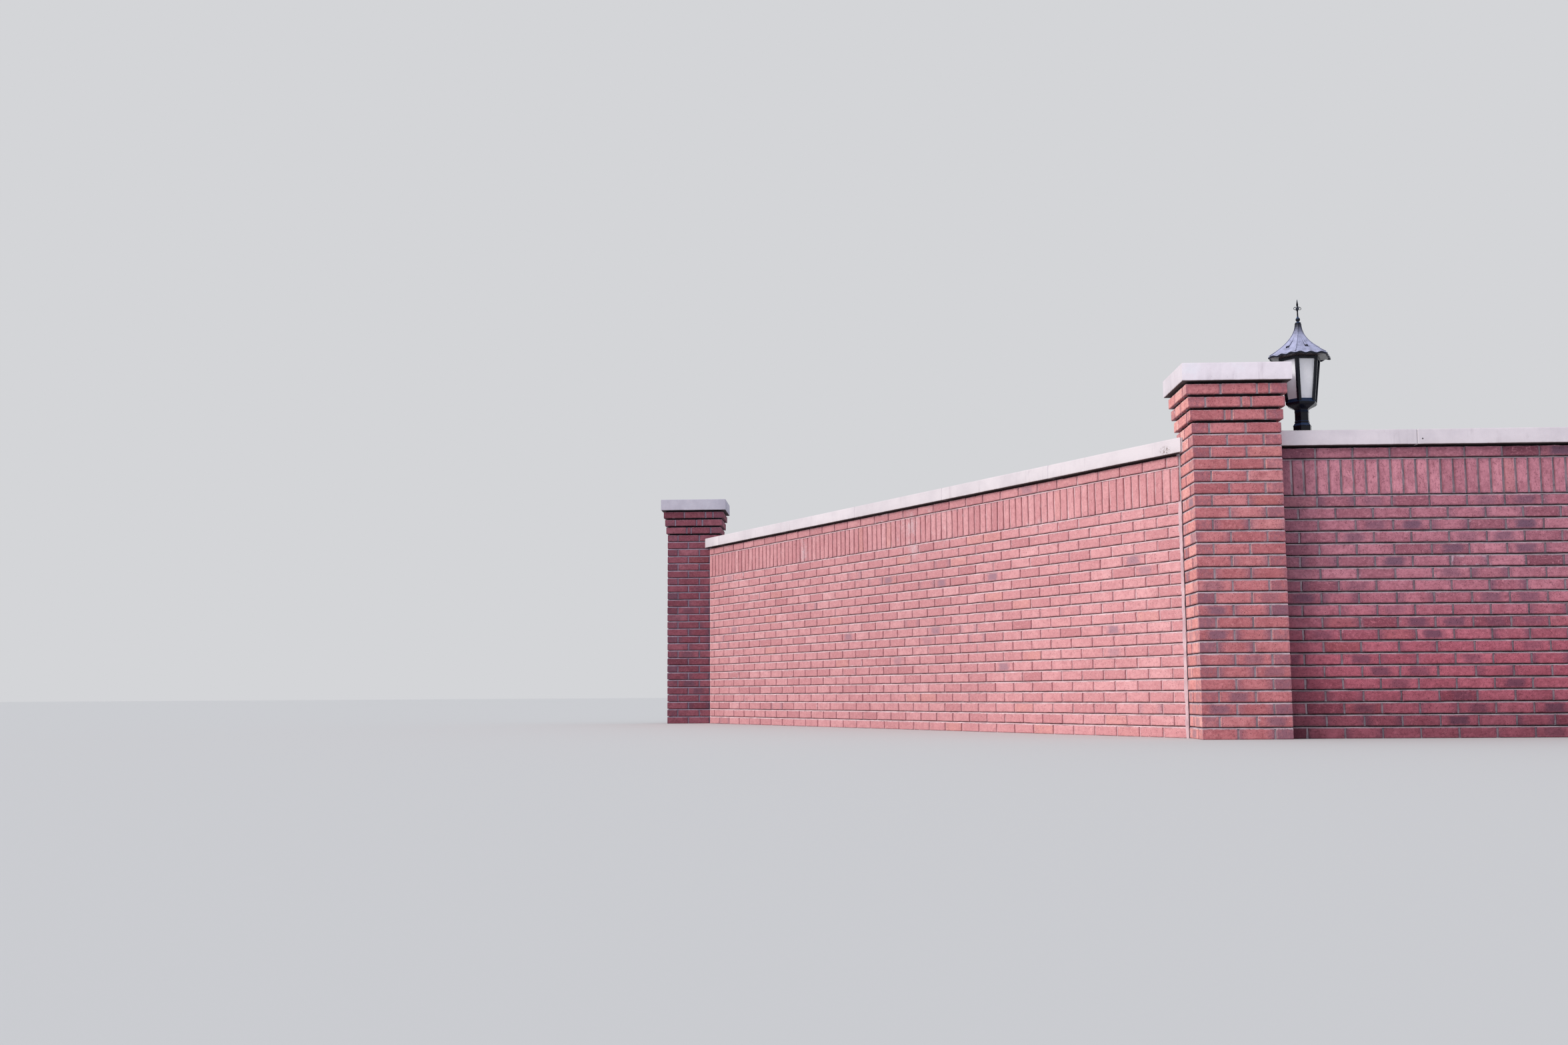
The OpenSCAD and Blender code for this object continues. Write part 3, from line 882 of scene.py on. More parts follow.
@dataclass(frozen=True)
class Plan:
    """The wall's layout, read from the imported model's own nodes."""
    corner: Array
    far: Array
    end: Array
    pier_w: float
    pier_d: float
    bay_t: float
    canted_shift: float = 61 * MM
    angle: float = math.radians(120)

    @staticmethod
    def from_frame() -> "Plan":
        """Reads pier centres and widths from the CAD nodes.

        Returns:
            The layout.
        """
        low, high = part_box("corner_pier_shaft")
        bay_low, bay_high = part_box("straight_bay_field")
        corner, far, end = (node_centre(f"{name}_pier_shaft") for name in ("corner", "far", "end"))
        return Plan(corner, far, end, high[0] - low[0], high[1] - low[1], bay_high[1] - bay_low[1])

    @property
    def along(self) -> Array:
        """Direction of the canted bay, away from the corner pier."""
        return np.array([math.cos(self.angle), math.sin(self.angle), 0.0])

    @property
    def outward(self) -> Array:
        """Direction that the canted bay's outer face looks."""
        return np.array([-math.sin(self.angle), math.cos(self.angle), 0.0])

    def canted_start(self, v: Array, gap: float) -> Array:
        """Distance along the canted bay at which a line offset outwards by v leaves the corner pier.

        Args:
            v: Offset outwards from the line of the piers.
            gap: Clear distance to the pier.
        Returns:
            The distance, from the corner pier's centre.
        """
        v = np.asarray(v, dtype=float)
        by_side = (self.pier_w / 2 + gap + self.outward[0] * v) / -self.along[0]
        by_back = (self.pier_d / 2 + gap - self.outward[1] * v) / self.along[1]
        return np.minimum(by_side, by_back)

    def canted_end(self, v: Array, gap: float) -> Array:
        """Distance along the canted bay at which a line offset outwards by v meets the far pier.

        Args:
            v: Offset outwards from the line of the piers.
            gap: Clear distance to the pier.
        Returns:
            The distance, from the corner pier's centre.
        """
        v = np.asarray(v, dtype=float)
        span = self.far - self.corner
        by_side = (span[0] + self.pier_w / 2 + gap - self.outward[0] * v) / self.along[0]
        by_front = (span[1] - self.pier_d / 2 - gap - self.outward[1] * v) / self.along[1]
        return np.maximum(by_side, by_front)

    def straight_reach(self) -> tuple[float, float]:
        """Start and end of the straight bay between the pier faces, from the corner pier's centre."""
        return self.pier_w / 2, self.end[0] - self.corner[0] - self.pier_w / 2

    def canted_face(self, side: int) -> WallFace:
        """Outer (side 1) or inner (side -1) face of the canted bay, from its meeting with the corner pier.

        Args:
            side: 1 for the outer face, -1 for the inner.
        Returns:
            The face.
        """
        v = self.canted_shift + side * self.bay_t / 2
        meet = float(self.canted_start(v, 0.0))
        foot = self.corner + self.outward * v + self.along * meet
        start, end = float(self.canted_start(v, SEAL_W)) - meet, float(self.canted_end(v, SEAL_W)) - meet
        return WallFace(foot, self.along, self.outward * side, start, end)

    def straight_face(self, side: int) -> WallFace:
        """Front (side 1) or back (side -1) face of the straight bay, measured from the corner pier's side.

        Args:
            side: 1 for the front, -1 for the back.
        Returns:
            The face.
        """
        near, far = self.straight_reach()
        foot = self.corner + RIGHT * near + FRONT * side * self.bay_t / 2
        return WallFace(foot, RIGHT, FRONT * side, SEAL_W, far - near - SEAL_W)


# Bricks

@dataclass(frozen=True)
class Pieces:
    """Bricks of one face as arrays: start and end along the face, bottom and top."""
    start: Array
    end: Array
    low: Array
    high: Array

    @staticmethod
    def course(start: float, end: float, first: float, pitch: float, low: float, high: float) -> "Pieces":
        """Lays one course: a first piece of the given length, whole pieces after it, and the rest at the end.

        Args:
            start: Where the course starts.
            end: Where it ends.
            first: Length of the first piece.
            pitch: Length of a whole piece and its joint.
            low: Height of the bricks' bottom.
            high: Height of the bricks' top.
        Returns:
            The course.
        """
        begins = np.concatenate([[start], np.arange(start + first + JOINT, end - 2.5 * JOINT, pitch)])
        ends = np.append(begins[1:] - JOINT, end)
        return Pieces(begins, ends, np.full(len(begins), low), np.full(len(begins), high))

    @staticmethod
    def together(courses: list["Pieces"]) -> "Pieces":
        """All the given courses as one set."""
        keys = ("start", "end", "low", "high")
        return Pieces(*(np.concatenate([getattr(course, key) for course in courses]) for key in keys))


RIM = np.array([[-1, -1], [-.6, -1], [-.2, -1], [.2, -1], [.6, -1], [1, -1], [1, -.33], [1, .33],
                [1, 1], [.6, 1], [.2, 1], [-.2, 1], [-.6, 1], [-1, 1], [-1, .33], [-1, -.33]])
DEPTHS = np.array([-42.0, -3.2, -0.9, 0.0])[:, None] * MM
INSETS = np.array([0.0, 0.2, 1.0, 2.6])[:, None] * MM
WEAR = np.array([0, 0.1, 0.55, 1.0])[:, None]
AT_EDGE = 0.99
CHIPPED = 0.03
TONE_SPREAD = 0.17


def brick_marks(count: int, corners: int, rng: np.random.Generator, flashed: float | Array,
                lift: float | Array = 0.0) -> tuple[Array, Array]:
    """Draws each brick's tone, flash and warmth, and the shift of its patterns.

    Args:
        count: Number of bricks.
        corners: Mesh corners of a brick.
        rng: Random source.
        flashed: Share of the batch that is grey over its middle; four fifths as many are grey at their ends.
        lift: How much paler than the batch's mean tone these bricks are, as one number or one for each.
    Returns:
        brick_mix and brick_shift, each (count * corners, 3).
    """
    tone = np.clip(rng.normal(0.5 + lift, TONE_SPREAD, count), 0, 1)
    draw, strength = rng.uniform(0, 1, count), rng.uniform(0.35, 0.88, count)
    flash = np.where(draw < flashed, strength, np.where(draw > 1 - 0.8 * flashed, -0.7 * strength, 0.0))
    mix = np.stack([tone, flash, rng.uniform(0, 1, count)], 1)
    shift = rng.uniform(0, 9, (count, 3))
    return np.repeat(mix, corners, 0), np.repeat(shift, corners, 0)


def put_bricks(name: str, points: Array, local: Array, unit: Array,
               marks: tuple[Array, Array]) -> bpy.types.Object:
    """Puts bricks into the scene, each a tube of rings, with what their material reads.

    Args:
        name: Piece name.
        points: Corners, (bricks, rings, around, 3).
        local: Corners from each brick's middle, in metres.
        unit: The same as shares of its half size.
        marks: brick_mix and brick_shift.
    Returns:
        The piece.
    """
    n, r, m = points.shape[:3]
    first = (np.arange(n) * r * m)[:, None, None]
    blocks = [(block[None] + first).reshape(-1, block.shape[1]) for block in tube_faces(r, m)]
    piece = put_mesh(name, points, blocks)
    for key, values in zip(("place", "unit", "mix", "shift"), (local, unit, *marks)):
        give_attribute(piece, f"brick_{key}", values.reshape(-1, 3))
    return piece


def face_bricks(name: str, face: WallFace, pieces: Pieces, seed: int, flashed: float,
                lift: float | Array = 0.0) -> bpy.types.Object:
    """Bricks of a bay's face, each a closed body ringed from its back to its slightly rounded, worn front.

    Ring k of a brick is its outline drawn in by INSETS[k] at depth DEPTHS[k]. The outline is a rectangle of
    sixteen points, moved by under a millimetre, and by up to a centimetre where an arris is chipped. Each
    brick stands up to a millimetre in or out, and leans and turns by a fraction of a degree.

    Args:
        name: Piece name.
        face: Where the bricks stand.
        pieces: The bricks.
        seed: Random seed.
        flashed: Share of flashed bricks.
        lift: How much paler than the batch's mean tone these bricks are.
    Returns:
        The piece.
    """
    rng = np.random.default_rng(seed)
    n, m, r = len(pieces.start), len(RIM), len(DEPTHS)
    half = np.stack([pieces.end - pieces.start, pieces.high - pieces.low], 1) / 2
    middle = np.stack([pieces.end + pieces.start, pieces.high + pieces.low], 1)[..., None, None] / 2
    tall = (half[:, 1] > half[:, 0])[:, None, None]
    rim = np.where(tall, RIM[:, ::-1] * [-1, 1], RIM)[:, None]
    size = half - rng.uniform(0.2, 1.1, (n, 2)) * MM
    wobble = rng.normal(0, 0.75, (n, m, 2)) * MM
    wear = rng.uniform(0, 1.8, (n, m)) * MM
    chipped = rng.uniform(0, 1, (n, m)) < CHIPPED
    wear = wear + np.where(chipped, rng.uniform(3, 9, (n, m)), 0) * MM
    inset = (INSETS + wear[:, None, :] * WEAR)[..., None] * (np.abs(rim) > AT_EDGE)
    flat = np.sign(rim) * (np.abs(rim) * size[:, None, None, :] - inset) + wobble[:, None]
    turn = rng.normal(0, 0.0022, (n, 1, 1))
    s = flat[..., 0] - turn * flat[..., 1]
    z = flat[..., 1] + turn * flat[..., 0]
    lean = rng.normal(0, 0.006, (n, 2))[..., None, None]
    out = rng.normal(0, 0.5, (n, 1, 1)) * MM
    d = DEPTHS + out + lean[:, 0] * s + lean[:, 1] * z * 2
    d = d + rng.normal(0, 0.22, (n, r, m)) * MM
    points = face.world(s + middle[:, 0], np.maximum(z + middle[:, 1], 0.0), d)
    along, across = np.where(tall, z, s), np.where(tall, s, z)
    long, short = half.max(1)[:, None, None], half.min(1)[:, None, None]
    unit = np.stack([along / long, across / short, np.ones_like(s)], -1)
    marks = brick_marks(n, r * m, rng, flashed, lift)
    return put_bricks(name, points, np.stack([along, across, d], -1), unit, marks)


HEAD_CLOSERS = (30, 44, 58)


def pier_course(length: float, row: int, side: int) -> list[float]:
    """Pieces that one side of a pier owns in a course, from its left to its right, seen from outside.

    The neighbour's brick takes up the rest of the side with its end. Front and back have two stretchers, with
    a closer in the head; the narrower flanks have a stretcher by the front and a cut piece by the back.

    Args:
        length: Length of the course along the side.
        row: Course number from the ground.
        side: 0 for the front, 1 for the right flank, 2 for the back, 3 for the left flank.
    Returns:
        Lengths of the pieces.
    """
    if side % 2 == 1:
        cut = length - LEAF_W - BRICK_L - 2 * JOINT
        return [BRICK_L, cut] if side == 1 else [cut, BRICK_L]
    if row < SHAFT_COURSES:
        return [(length - LEAF_W - 2 * JOINT) / 2] * 2
    step = row - SHAFT_COURSES
    closer, first = HEAD_CLOSERS[step] * MM, 186 * MM
    rest = length - LEAF_W - first - closer - 3 * JOINT
    return [first, rest, closer] if step == 2 else [first, closer, rest]


PIER_RIM = np.array([[-1, -1, 1, 0], [-.5, -1, 0, 0], [0, -1, 0, 0], [.5, -1, 0, 0], [1, -1, 1, 0],
                     [1, -1, 0, 1], [1, 0, 0, 0], [1, 1, 0, 1], [1, 1, 1, 0], [.5, 1, 0, 0], [0, 1, 0, 0],
                     [-.5, 1, 0, 0], [-1, 1, 1, 0], [-1, 1, 0, 1], [-1, 0, 0, 0], [-1, -1, 0, 1]])
CORNER_CUT = 2.2 * MM
LEVELS = np.array([0.0, 1.6, -1.6, 0.0])[:, None] * MM
TOP_SHARES = np.array([0, 0, 1, 1])[:, None]
PIER_INSETS = np.array([2.2, 0.3, 0.3, 2.2])[:, None, None] * MM
PIER_WEAR = np.array([1, .3, .3, 1])[:, None, None]
PIER_CHIPS = np.array([0.1, 0.1, 0.4, 1.0])[:, None, None]
PIER_CHIPPED = 0.02


def pier_bricks(name: str, centre: Array, plan: tuple[float, float], step: float, seed: int,
                flashed: float) -> bpy.types.Object:
    """Bricks of a pier, laid in turning bond, each a closed body ringed from its bed to its top.

    Ring k of a brick is a rounded rectangle in plan, drawn in at the bed and the top, with its points moved
    by under a millimetre. The bricks of one side are turned by quarter turns to the other sides, and courses
    of the head step out.

    Args:
        name: Piece name.
        centre: Pier centre in plan.
        plan: Width and depth of the shaft.
        step: Projection of each course of the head.
        seed: Random seed.
        flashed: Share of flashed bricks, up to the level of the soldier course.
    Returns:
        The piece.
    """
    rng = np.random.default_rng(seed)
    rows = []
    for row, (bottom, _) in enumerate(pier_levels()):
        out = 2 * step * max(0, row - SHAFT_COURSES + 1)
        for side in range(4):
            long, thick = plan[side % 2] + out, plan[1 - side % 2] + out
            at = -long / 2 if row % 2 == 0 else -long / 2 + LEAF_W + JOINT
            for length in pier_course(long, row, side):
                rows.append((at, at + length, bottom, thick / 2, side))
                at += length + JOINT
    start, stop, low, face, side = np.array(rows).T[..., None, None]
    n, m, r = len(rows), len(PIER_RIM), len(LEVELS)
    half = np.stack([(stop - start) / 2, np.full_like(start, LEAF_W / 2)], -1)
    inset = PIER_INSETS + (rng.uniform(0, 1.2, (n, 1, m, 1)) * MM) * PIER_WEAR
    chip = (rng.uniform(0, 1, (n, 1, m, 1)) < PIER_CHIPPED) * rng.uniform(2, 7, (n, 1, m, 1)) * MM
    inset = inset + chip * PIER_CHIPS
    rim = PIER_RIM[:, :2]
    reach = np.abs(rim) * (half - 0.3 * MM) - inset * (np.abs(rim) > AT_EDGE) - PIER_RIM[:, 2:] * CORNER_CUT
    flat = np.sign(rim) * reach + rng.normal(0, 0.4, (n, 1, m, 2)) * MM
    height = TOP_SHARES * (BRICK_H - rng.uniform(0, 1.0, (n, 1, 1)) * MM)
    z = height + LEVELS + rng.normal(0, 0.35, (n, r, m)) * MM
    out = rng.normal(0, 0.6, (n, 1, 1)) * MM
    lean = rng.normal(0, 0.005, (n, 1, 1))
    up = z - BRICK_H / 2
    x = flat[..., 0] + (start + stop) / 2
    y = flat[..., 1] - (face - LEAF_W / 2 + out) - lean * up
    c, s = np.cos(side * math.pi / 2), np.sin(side * math.pi / 2)
    points = np.stack([x * c - y * s + centre[0], x * s + y * c + centre[1], np.maximum(z + low, 0.0)], -1)
    local = np.stack([flat[..., 0], up, flat[..., 1]], -1)
    unit = np.stack([flat[..., 0] / half[..., 0], up / (BRICK_H / 2), flat[..., 1] / half[..., 1]], -1)
    mix, shift = brick_marks(n, r * m, rng, np.where(low[:, 0, 0] < FIELD_TOP - JOINT, flashed, 0.0))
    mix[:, 2] = np.maximum(mix[:, 2], 0.02)
    return put_bricks(name, points, local, unit, (mix, shift))


# Mortar

def struck_profile(courses: list[tuple[float, float]], beds: Array, ledge: tuple[float, float]) -> Array:
    """Upright outline of struck mortar: rows of height, depth behind the brick face, and how much painted
    shade and soiling it takes.

    Between two courses the mortar slopes from close to the face on the lower brick to deep under the upper
    one. Beside the bricks, where the head joints show, it stands at one depth. A bed deeper than RAKED is
    raked out all the way.

    Args:
        courses: Bottom and top of each course, from the ground.
        beds: Depth of the bed over each course.
        ledge: Shares of a joint's height at which its slope ends and its dark gap starts.
    Returns:
        Rows of height, depth, and painted shade with soiling.
    """
    rows = [[0.0, HEAD_DEPTH, 0.35]]
    above = [low for low, _ in courses[1:]] + [courses[-1][1] + JOINT]
    for (_, top), roof, deep in zip(courses, above, beds):
        raked = deep < RAKED
        foot, waist = (0.8 * deep, 0.9 * deep) if raked else (-1.6 * MM, 0.32 * deep)
        rows += [[top - 1 * MM, HEAD_DEPTH, 0.2], [top - 0.5 * MM, foot, 1.0 * raked],
                 [top + ledge[0] * (roof - top), waist, 1.0 if raked else 0.15],
                 [top + ledge[1] * (roof - top), 0.9 * deep, 0.95],
                 [roof - 0.4 * MM, deep, 1.0], [roof + 0.3 * MM, HEAD_DEPTH, 0.4]]
    return np.array(rows)


def pier_levels() -> list[tuple[float, float]]:
    """Bottom and top of each course of a pier; the joints of its head are thicker, from the one under it.

    Returns:
        Pairs of bottom and top, from the ground.
    """
    row = np.arange(SHAFT_COURSES + HEAD_COURSES)
    low = row * COURSE + np.maximum(0, row - SHAFT_COURSES + 1) * (HEAD_JOINT - JOINT)
    return [(float(z), float(z) + BRICK_H) for z in low]


def bay_courses() -> list[tuple[float, float]]:
    """Bottom and top of each course of a bay, the soldiers as one."""
    rows = [(k * COURSE, k * COURSE + BRICK_H) for k in range(FIELD_COURSES)]
    return rows + [(FIELD_TOP, FIELD_TOP + BRICK_L), (CROWN_LOW, CROWN_LOW + BRICK_H)]


STATIONS = 150


def bay_mortar(name: str, faces: tuple[WallFace, WallFace], ledge: tuple[float, float],
               seed: int) -> bpy.types.Object:
    """Mortar core of a bay: the struck outline up one face and down the other, carried from seal to seal.

    The point at share t along the bay and step k of the outline is the face's own line at
    start + t * (end - start), set back by the outline's depth and a smooth random millimetre.

    Args:
        name: Piece name.
        faces: The two brick faces.
        ledge: Shares of a bed joint's height at which its slope ends and its dark gap starts.
        seed: Random seed.
    Returns:
        The piece.
    """
    courses = bay_courses()
    beds = np.append(np.full(len(courses) - 1, BED_DEPTH), -22 * MM)
    profile = struck_profile(courses, beds, ledge)
    profile[-1] = [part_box("straight_bay_crown")[1][2], -24 * MM, 1.0]
    t = np.linspace(0, 1, STATIONS)[:, None]
    k = np.arange(len(profile))[None, :]
    sheets = []
    for number, face in enumerate(faces):
        s = face.start + t * (face.end - face.start) + 0 * k
        ripple = wave_field(s / 0.055 + 7 * number, k * 0.9, seed + number) * 0.9 * MM
        ripple = ripple + wave_field(s / 0.5, k * 0.3, seed + 9) * 0.5 * MM
        lift = wave_field(s / 0.035, k * 3.1, seed + 5) * 0.8 * MM * (k > 0) * (k < len(profile) - 1)
        sheets.append(face.world(s, profile[None, :, 0] + lift, profile[None, :, 1] + ripple))
    ring = np.concatenate([sheets[0], sheets[1][:, ::-1]], 1)
    piece = put_mesh(name, ring, folded_faces(STATIONS, ring.shape[1]))
    give_attribute(piece, "joint_shade_and_soiling", np.tile(np.append(profile[:, 2], profile[::-1, 2]), STATIONS))
    return piece


def rectangle(per_side: int) -> Array:
    """Points once round a square of half width one, from its front left corner, as many to each side.

    Args:
        per_side: Points to each side.
    Returns:
        Points, (4 * per_side, 2).
    """
    share, one = np.linspace(-1, 1, per_side, endpoint=False), np.ones(per_side)
    sides = ((share, -one), (one, share), (-share, one), (-one, -share))
    return np.concatenate([np.stack(side, 1) for side in sides])


PIER_SIDE = 12


def pier_mortar(name: str, centre: Array, plan: tuple[float, float], step: float,
                seed: int) -> bpy.types.Object:
    """Mortar core of a pier: a rectangle of points for each step of the struck outline, stepped out above.

    Args:
        name: Piece name.
        centre: Pier centre in plan.
        plan: Width and depth of the shaft.
        step: Projection of each course of the head.
        seed: Random seed.
    Returns:
        The piece.
    """
    courses = pier_levels()
    total = len(courses)
    beds = np.where(np.arange(total) < SHAFT_COURSES - 1, BED_DEPTH, -24 * MM)
    profile = struck_profile(courses, beds, (0.46, 0.70))
    profile[-1] = [courses[-1][1] + HEAD_JOINT, -26 * MM, 1.0]
    row = np.minimum(np.arange(len(profile)) // 6, total - 1)
    out = step * np.maximum(0, row - SHAFT_COURSES + 1) + profile[:, 1]
    k = np.arange(len(profile))[:, None]
    i = np.arange(4 * PIER_SIDE)[None, :]
    out = out[:, None] + wave_field(i * 1.0, k * 0.9, seed) * 0.8 * MM
    flat = rectangle(PIER_SIDE)[None] * (np.array(plan) / 2 + out[..., None]) + centre[:2]
    lift = wave_field(i * 1.3, k * 3.1, seed + 3) * 0.7 * MM * (k > 0) * (k < len(profile) - 1)
    points = np.concatenate([flat, (profile[:, :1] + lift)[..., None]], -1)
    piece = put_mesh(name, points, tube_faces(len(profile), 4 * PIER_SIDE))
    give_attribute(piece, "joint_shade_and_soiling", np.repeat(profile[:, 2], 4 * PIER_SIDE))
    return piece


# Sub-assemblies

@dataclass
class Bay:
    """One bay of wall: field, soldier and crown bricks on both faces, their mortar, and the coping on top."""
    name: str
    faces: tuple[WallFace, WallFace]
    batch: WallFinish
    first_even: float
    first_odd: float
    soldier_first: float
    crown_first: float
    seed: int
    flashed: float
    ledge: tuple[float, float]
    head_lift: float = 0.0

    def lay_field(self, face: WallFace) -> Pieces:
        """Stretcher courses up to the soldiers, whole and half bricks taking turns at the start.

        Args:
            face: The brick face.
        Returns:
            The places of the bricks.
        """
        rows = []
        for row in range(FIELD_COURSES):
            first = self.first_even if row % 2 == 0 else self.first_odd
            low = row * COURSE
            rows.append(Pieces.course(face.start, face.end, first, STRETCH, low, low + BRICK_H))
        return Pieces.together(rows)

    def lay_head(self, face: WallFace) -> Pieces:
        """Soldier course and crown course.

        Args:
            face: The brick face.
        Returns:
            The places of the bricks.
        """
        ends = (face.start, face.end)
        return Pieces.together([
            Pieces.course(*ends, self.soldier_first, STRETCH / 3, FIELD_TOP, FIELD_TOP + BRICK_L),
            Pieces.course(*ends, self.crown_first, STRETCH, CROWN_LOW, CROWN_LOW + BRICK_H),
        ])

    def build(self) -> None:
        """Makes the bricks and the mortar and puts them in the CAD nodes' place."""
        brick, mortar = self.batch.value.brick.material(), self.batch.value.mortar.material()
        field = [f"{self.name}_bay_field"]
        head = [f"{self.name}_bay_soldiers", f"{self.name}_bay_crown"]
        for look, face, seed in zip(("outer", "inner"), self.faces, (self.seed, self.seed + 10)):
            name, laid = f"{self.name}_{look}", self.lay_head(face)
            piece = face_bricks(f"{name}_field_bricks", face, self.lay_field(face), seed + 5, self.flashed)
            dress(piece, brick, "brick", *field)
            # Crown bricks are made a little darker: painted shade under the coping's lip.
            lift = np.where(laid.low < CROWN_LOW, self.head_lift, -0.12)
            piece = face_bricks(f"{name}_head_bricks", face, laid, seed + 4, 0.15 * self.flashed, lift)
            dress(piece, brick, "brick", *head)
        core = bay_mortar(f"{self.name}_bay_mortar", self.faces, self.ledge, self.seed + 40)
        dress(core, mortar, "mortar", *field, *head)


CAP_SIDE = 28
CAP_INSETS = np.array([90, 14, 3, 0.7, 0, 0]) * MM
CAP_RISES = np.array([0, 0, 0, 0.4, 2.2, 6]) * MM
# Soiling and painted shade of each cap ring, from the bed up.
CAP_GRIME_AND_SHADE = np.array([1, 1, 1, 0.95, 0.5, 0.12, 0, 0, 0, 0, 0, 0, 0])


@dataclass
class Pier:
    """One pier: bricks, mortar and stone cap."""
    name: str
    centre: Array
    plan: tuple[float, float]
    step: float
    batch: WallFinish
    seed: int
    flashed: float

    def build(self) -> None:
        """Makes the pier's bricks, mortar and cap."""
        nodes = (f"{self.name}_pier_shaft", f"{self.name}_pier_corbel")
        shape = (self.centre, self.plan, self.step)
        bricks = pier_bricks(f"{self.name}_pier_bricks", *shape, self.seed, self.flashed)
        dress(bricks, self.batch.value.brick.material(), "brick", *nodes)
        core = pier_mortar(f"{self.name}_pier_mortar", *shape, self.seed + 7)
        dress(core, self.batch.value.mortar.material(), "mortar", *nodes)
        self.build_cap()

    def build_cap(self) -> None:
        """Makes the cap: rectangles of points from the bed up over the eased edge to the middle of the top.

        Ring k is the cap's outline drawn in by inset[k] at height[k], its points moved by a smooth random
        fraction of a millimetre; the rings of the bed and the top draw in to the middle.
        """
        low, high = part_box(f"{self.name}_pier_cap")
        half, bottom, top = np.array([high[0] - low[0], high[1] - low[1]]) / 2, low[2], high[2]
        middle = half.min() * 0.98
        inset = np.concatenate([[middle], CAP_INSETS, CAP_INSETS[-2::-1], [middle]])[:, None]
        height = np.concatenate([bottom + CAP_RISES, [(bottom + top) / 2], top - CAP_RISES[::-1]])[:, None]
        around = 4 * CAP_SIDE
        k, i = np.arange(len(inset))[:, None], np.arange(around)[None, :]
        worn = np.abs(wave_field(i * 0.8, k * 0.7, self.seed)) * 0.9 * MM * (inset < 5 * MM)
        square = np.broadcast_to(rectangle(CAP_SIDE)[None], (len(inset), around, 2))
        square = square * (1 - 0.0026 * (np.abs(square).min(-1) > 0.999))[..., None]
        flat = square * (half - (inset + worn)[..., None]) + self.centre[:2]
        lift = wave_field(i * 0.5, k * 0.5, self.seed + 2) * 0.4 * MM * (k > 2) * (k < 9)
        points = np.concatenate([flat, (height + lift)[..., None]], -1)
        cap = put_mesh(f"{self.name}_cap_stone", points, tube_faces(len(inset), around))
        give_attribute(cap, "stone_soiling_and_shade", np.repeat(CAP_GRIME_AND_SHADE, around))
        give_attribute(cap, "stone_mix", np.full(len(inset) * around, 0.15))
        # The far cap takes the stone with painted shade, as the far pier's bricks do.
        skin = SHADED_STONE if self.batch is WallFinish.FAR_SHADED else CAP_STONE
        dress(cap, skin, "coping_stone", f"{self.name}_pier_cap")


# Soiling and painted shade at each point of the coping's section.
COPING_GRIME_AND_SHADE = [1, 1, 1, 1, 1, 1, 0.6, 0.12, 0, 0, 0, 0, 0, 0]
STONE_STATIONS = 26


@dataclass
class Coping:
    """Coping stones of one bay, each carried along the wall between two joints."""
    name: str
    origin: Array
    along: Array
    across: Array
    shift: float
    limits: list[tuple[object, object]]
    width: float
    low: float
    high: float
    seed: int

    def outline(self) -> tuple[Array, Array, Array]:
        """Section across the wall: offsets, heights and how much soiling and painted shade each point takes,
        once round the stone.

        Returns:
            The three, as arrays of one length.
        """
        half, low, high = self.width / 2, self.low, self.high
        groove = half - 12 * MM
        right = [(groove - 9 * MM, low), (groove - 6 * MM, low), (groove - 6 * MM, low + 6 * MM),
                 (groove, low + 6 * MM), (groove, low), (half - 3 * MM, low),
                 (half - 0.8 * MM, low + 1.6 * MM), (half, low + 5 * MM), (half, (low + high) / 2),
                 (half, high - 5 * MM), (half - 0.8 * MM, high - 1.6 * MM),
                 (half - 3.2 * MM, high - 0.2 * MM), (half - 20 * MM, high), (half * 0.45, high)]
        flat = np.array(right + [(-v, z) for v, z in right[::-1]])
        return flat[:, 0], flat[:, 1], np.array(COPING_GRIME_AND_SHADE + COPING_GRIME_AND_SHADE[::-1], dtype=float)

    def build(self, *nodes: str) -> None:
        """Makes the stones: the section at each of some stations, drawn in at both ends of a stone.

        Args:
            nodes: CAD nodes that the stones stand for.
        """
        v, z, grime_and_shade = self.outline()
        rng = np.random.default_rng(self.seed)
        around, corner = len(v), np.arange(len(v))[None]
        t = np.linspace(0, 1, STONE_STATIONS)[1:-1]
        share = np.concatenate([[0, 0.0008, 0.0035], t, [0.9965, 0.9992, 1]])[:, None]
        draw = np.concatenate([[2.2, 0.6, 0], 0 * t, [0, 0.6, 2.2]])[:, None] * MM
        outer = np.abs(v) > self.width / 2 - 4 * MM
        arris = (z > self.high - 6 * MM) | (z < self.low + 6 * MM)
        faces = folded_faces(len(share), around)
        shells, worn = [], []
        for number, limit in enumerate(self.limits):
            first, last = (end(v + self.shift) if callable(end) else np.full(around, end) for end in limit)
            s = first + share * (last - first)
            chip = np.maximum(0, wave_field(s / 0.05, corner * 2.3, self.seed + number) - 0.55) * 4 * MM
            wear = 0.4 * MM * np.abs(wave_field(s / 0.08, corner * 0.7, self.seed + 3 + number))
            side = v - np.sign(v) * outer * (draw + wear + chip * arris) + self.shift
            ripple = wave_field(s / 0.4, np.zeros_like(s), self.seed + 5) * 0.3 * MM
            up = z - np.sign(z - (self.low + self.high) / 2) * draw + ripple
            shells.append((self.origin + s[..., None] * self.along + side[..., None] * self.across
                           + up[..., None] * UP, faces))
            worn.append(np.full(s.size, rng.uniform(0, 1)))
        corners, blocks = join_shells(shells)
        stones = put_mesh(f"{self.name}_coping", corners, blocks)
        give_attribute(stones, "stone_soiling_and_shade", np.tile(grime_and_shade, len(shells) * len(share)))
        give_attribute(stones, "stone_mix", np.concatenate(worn))
        dress(stones, STONE, "coping_stone", *nodes)


# Lantern

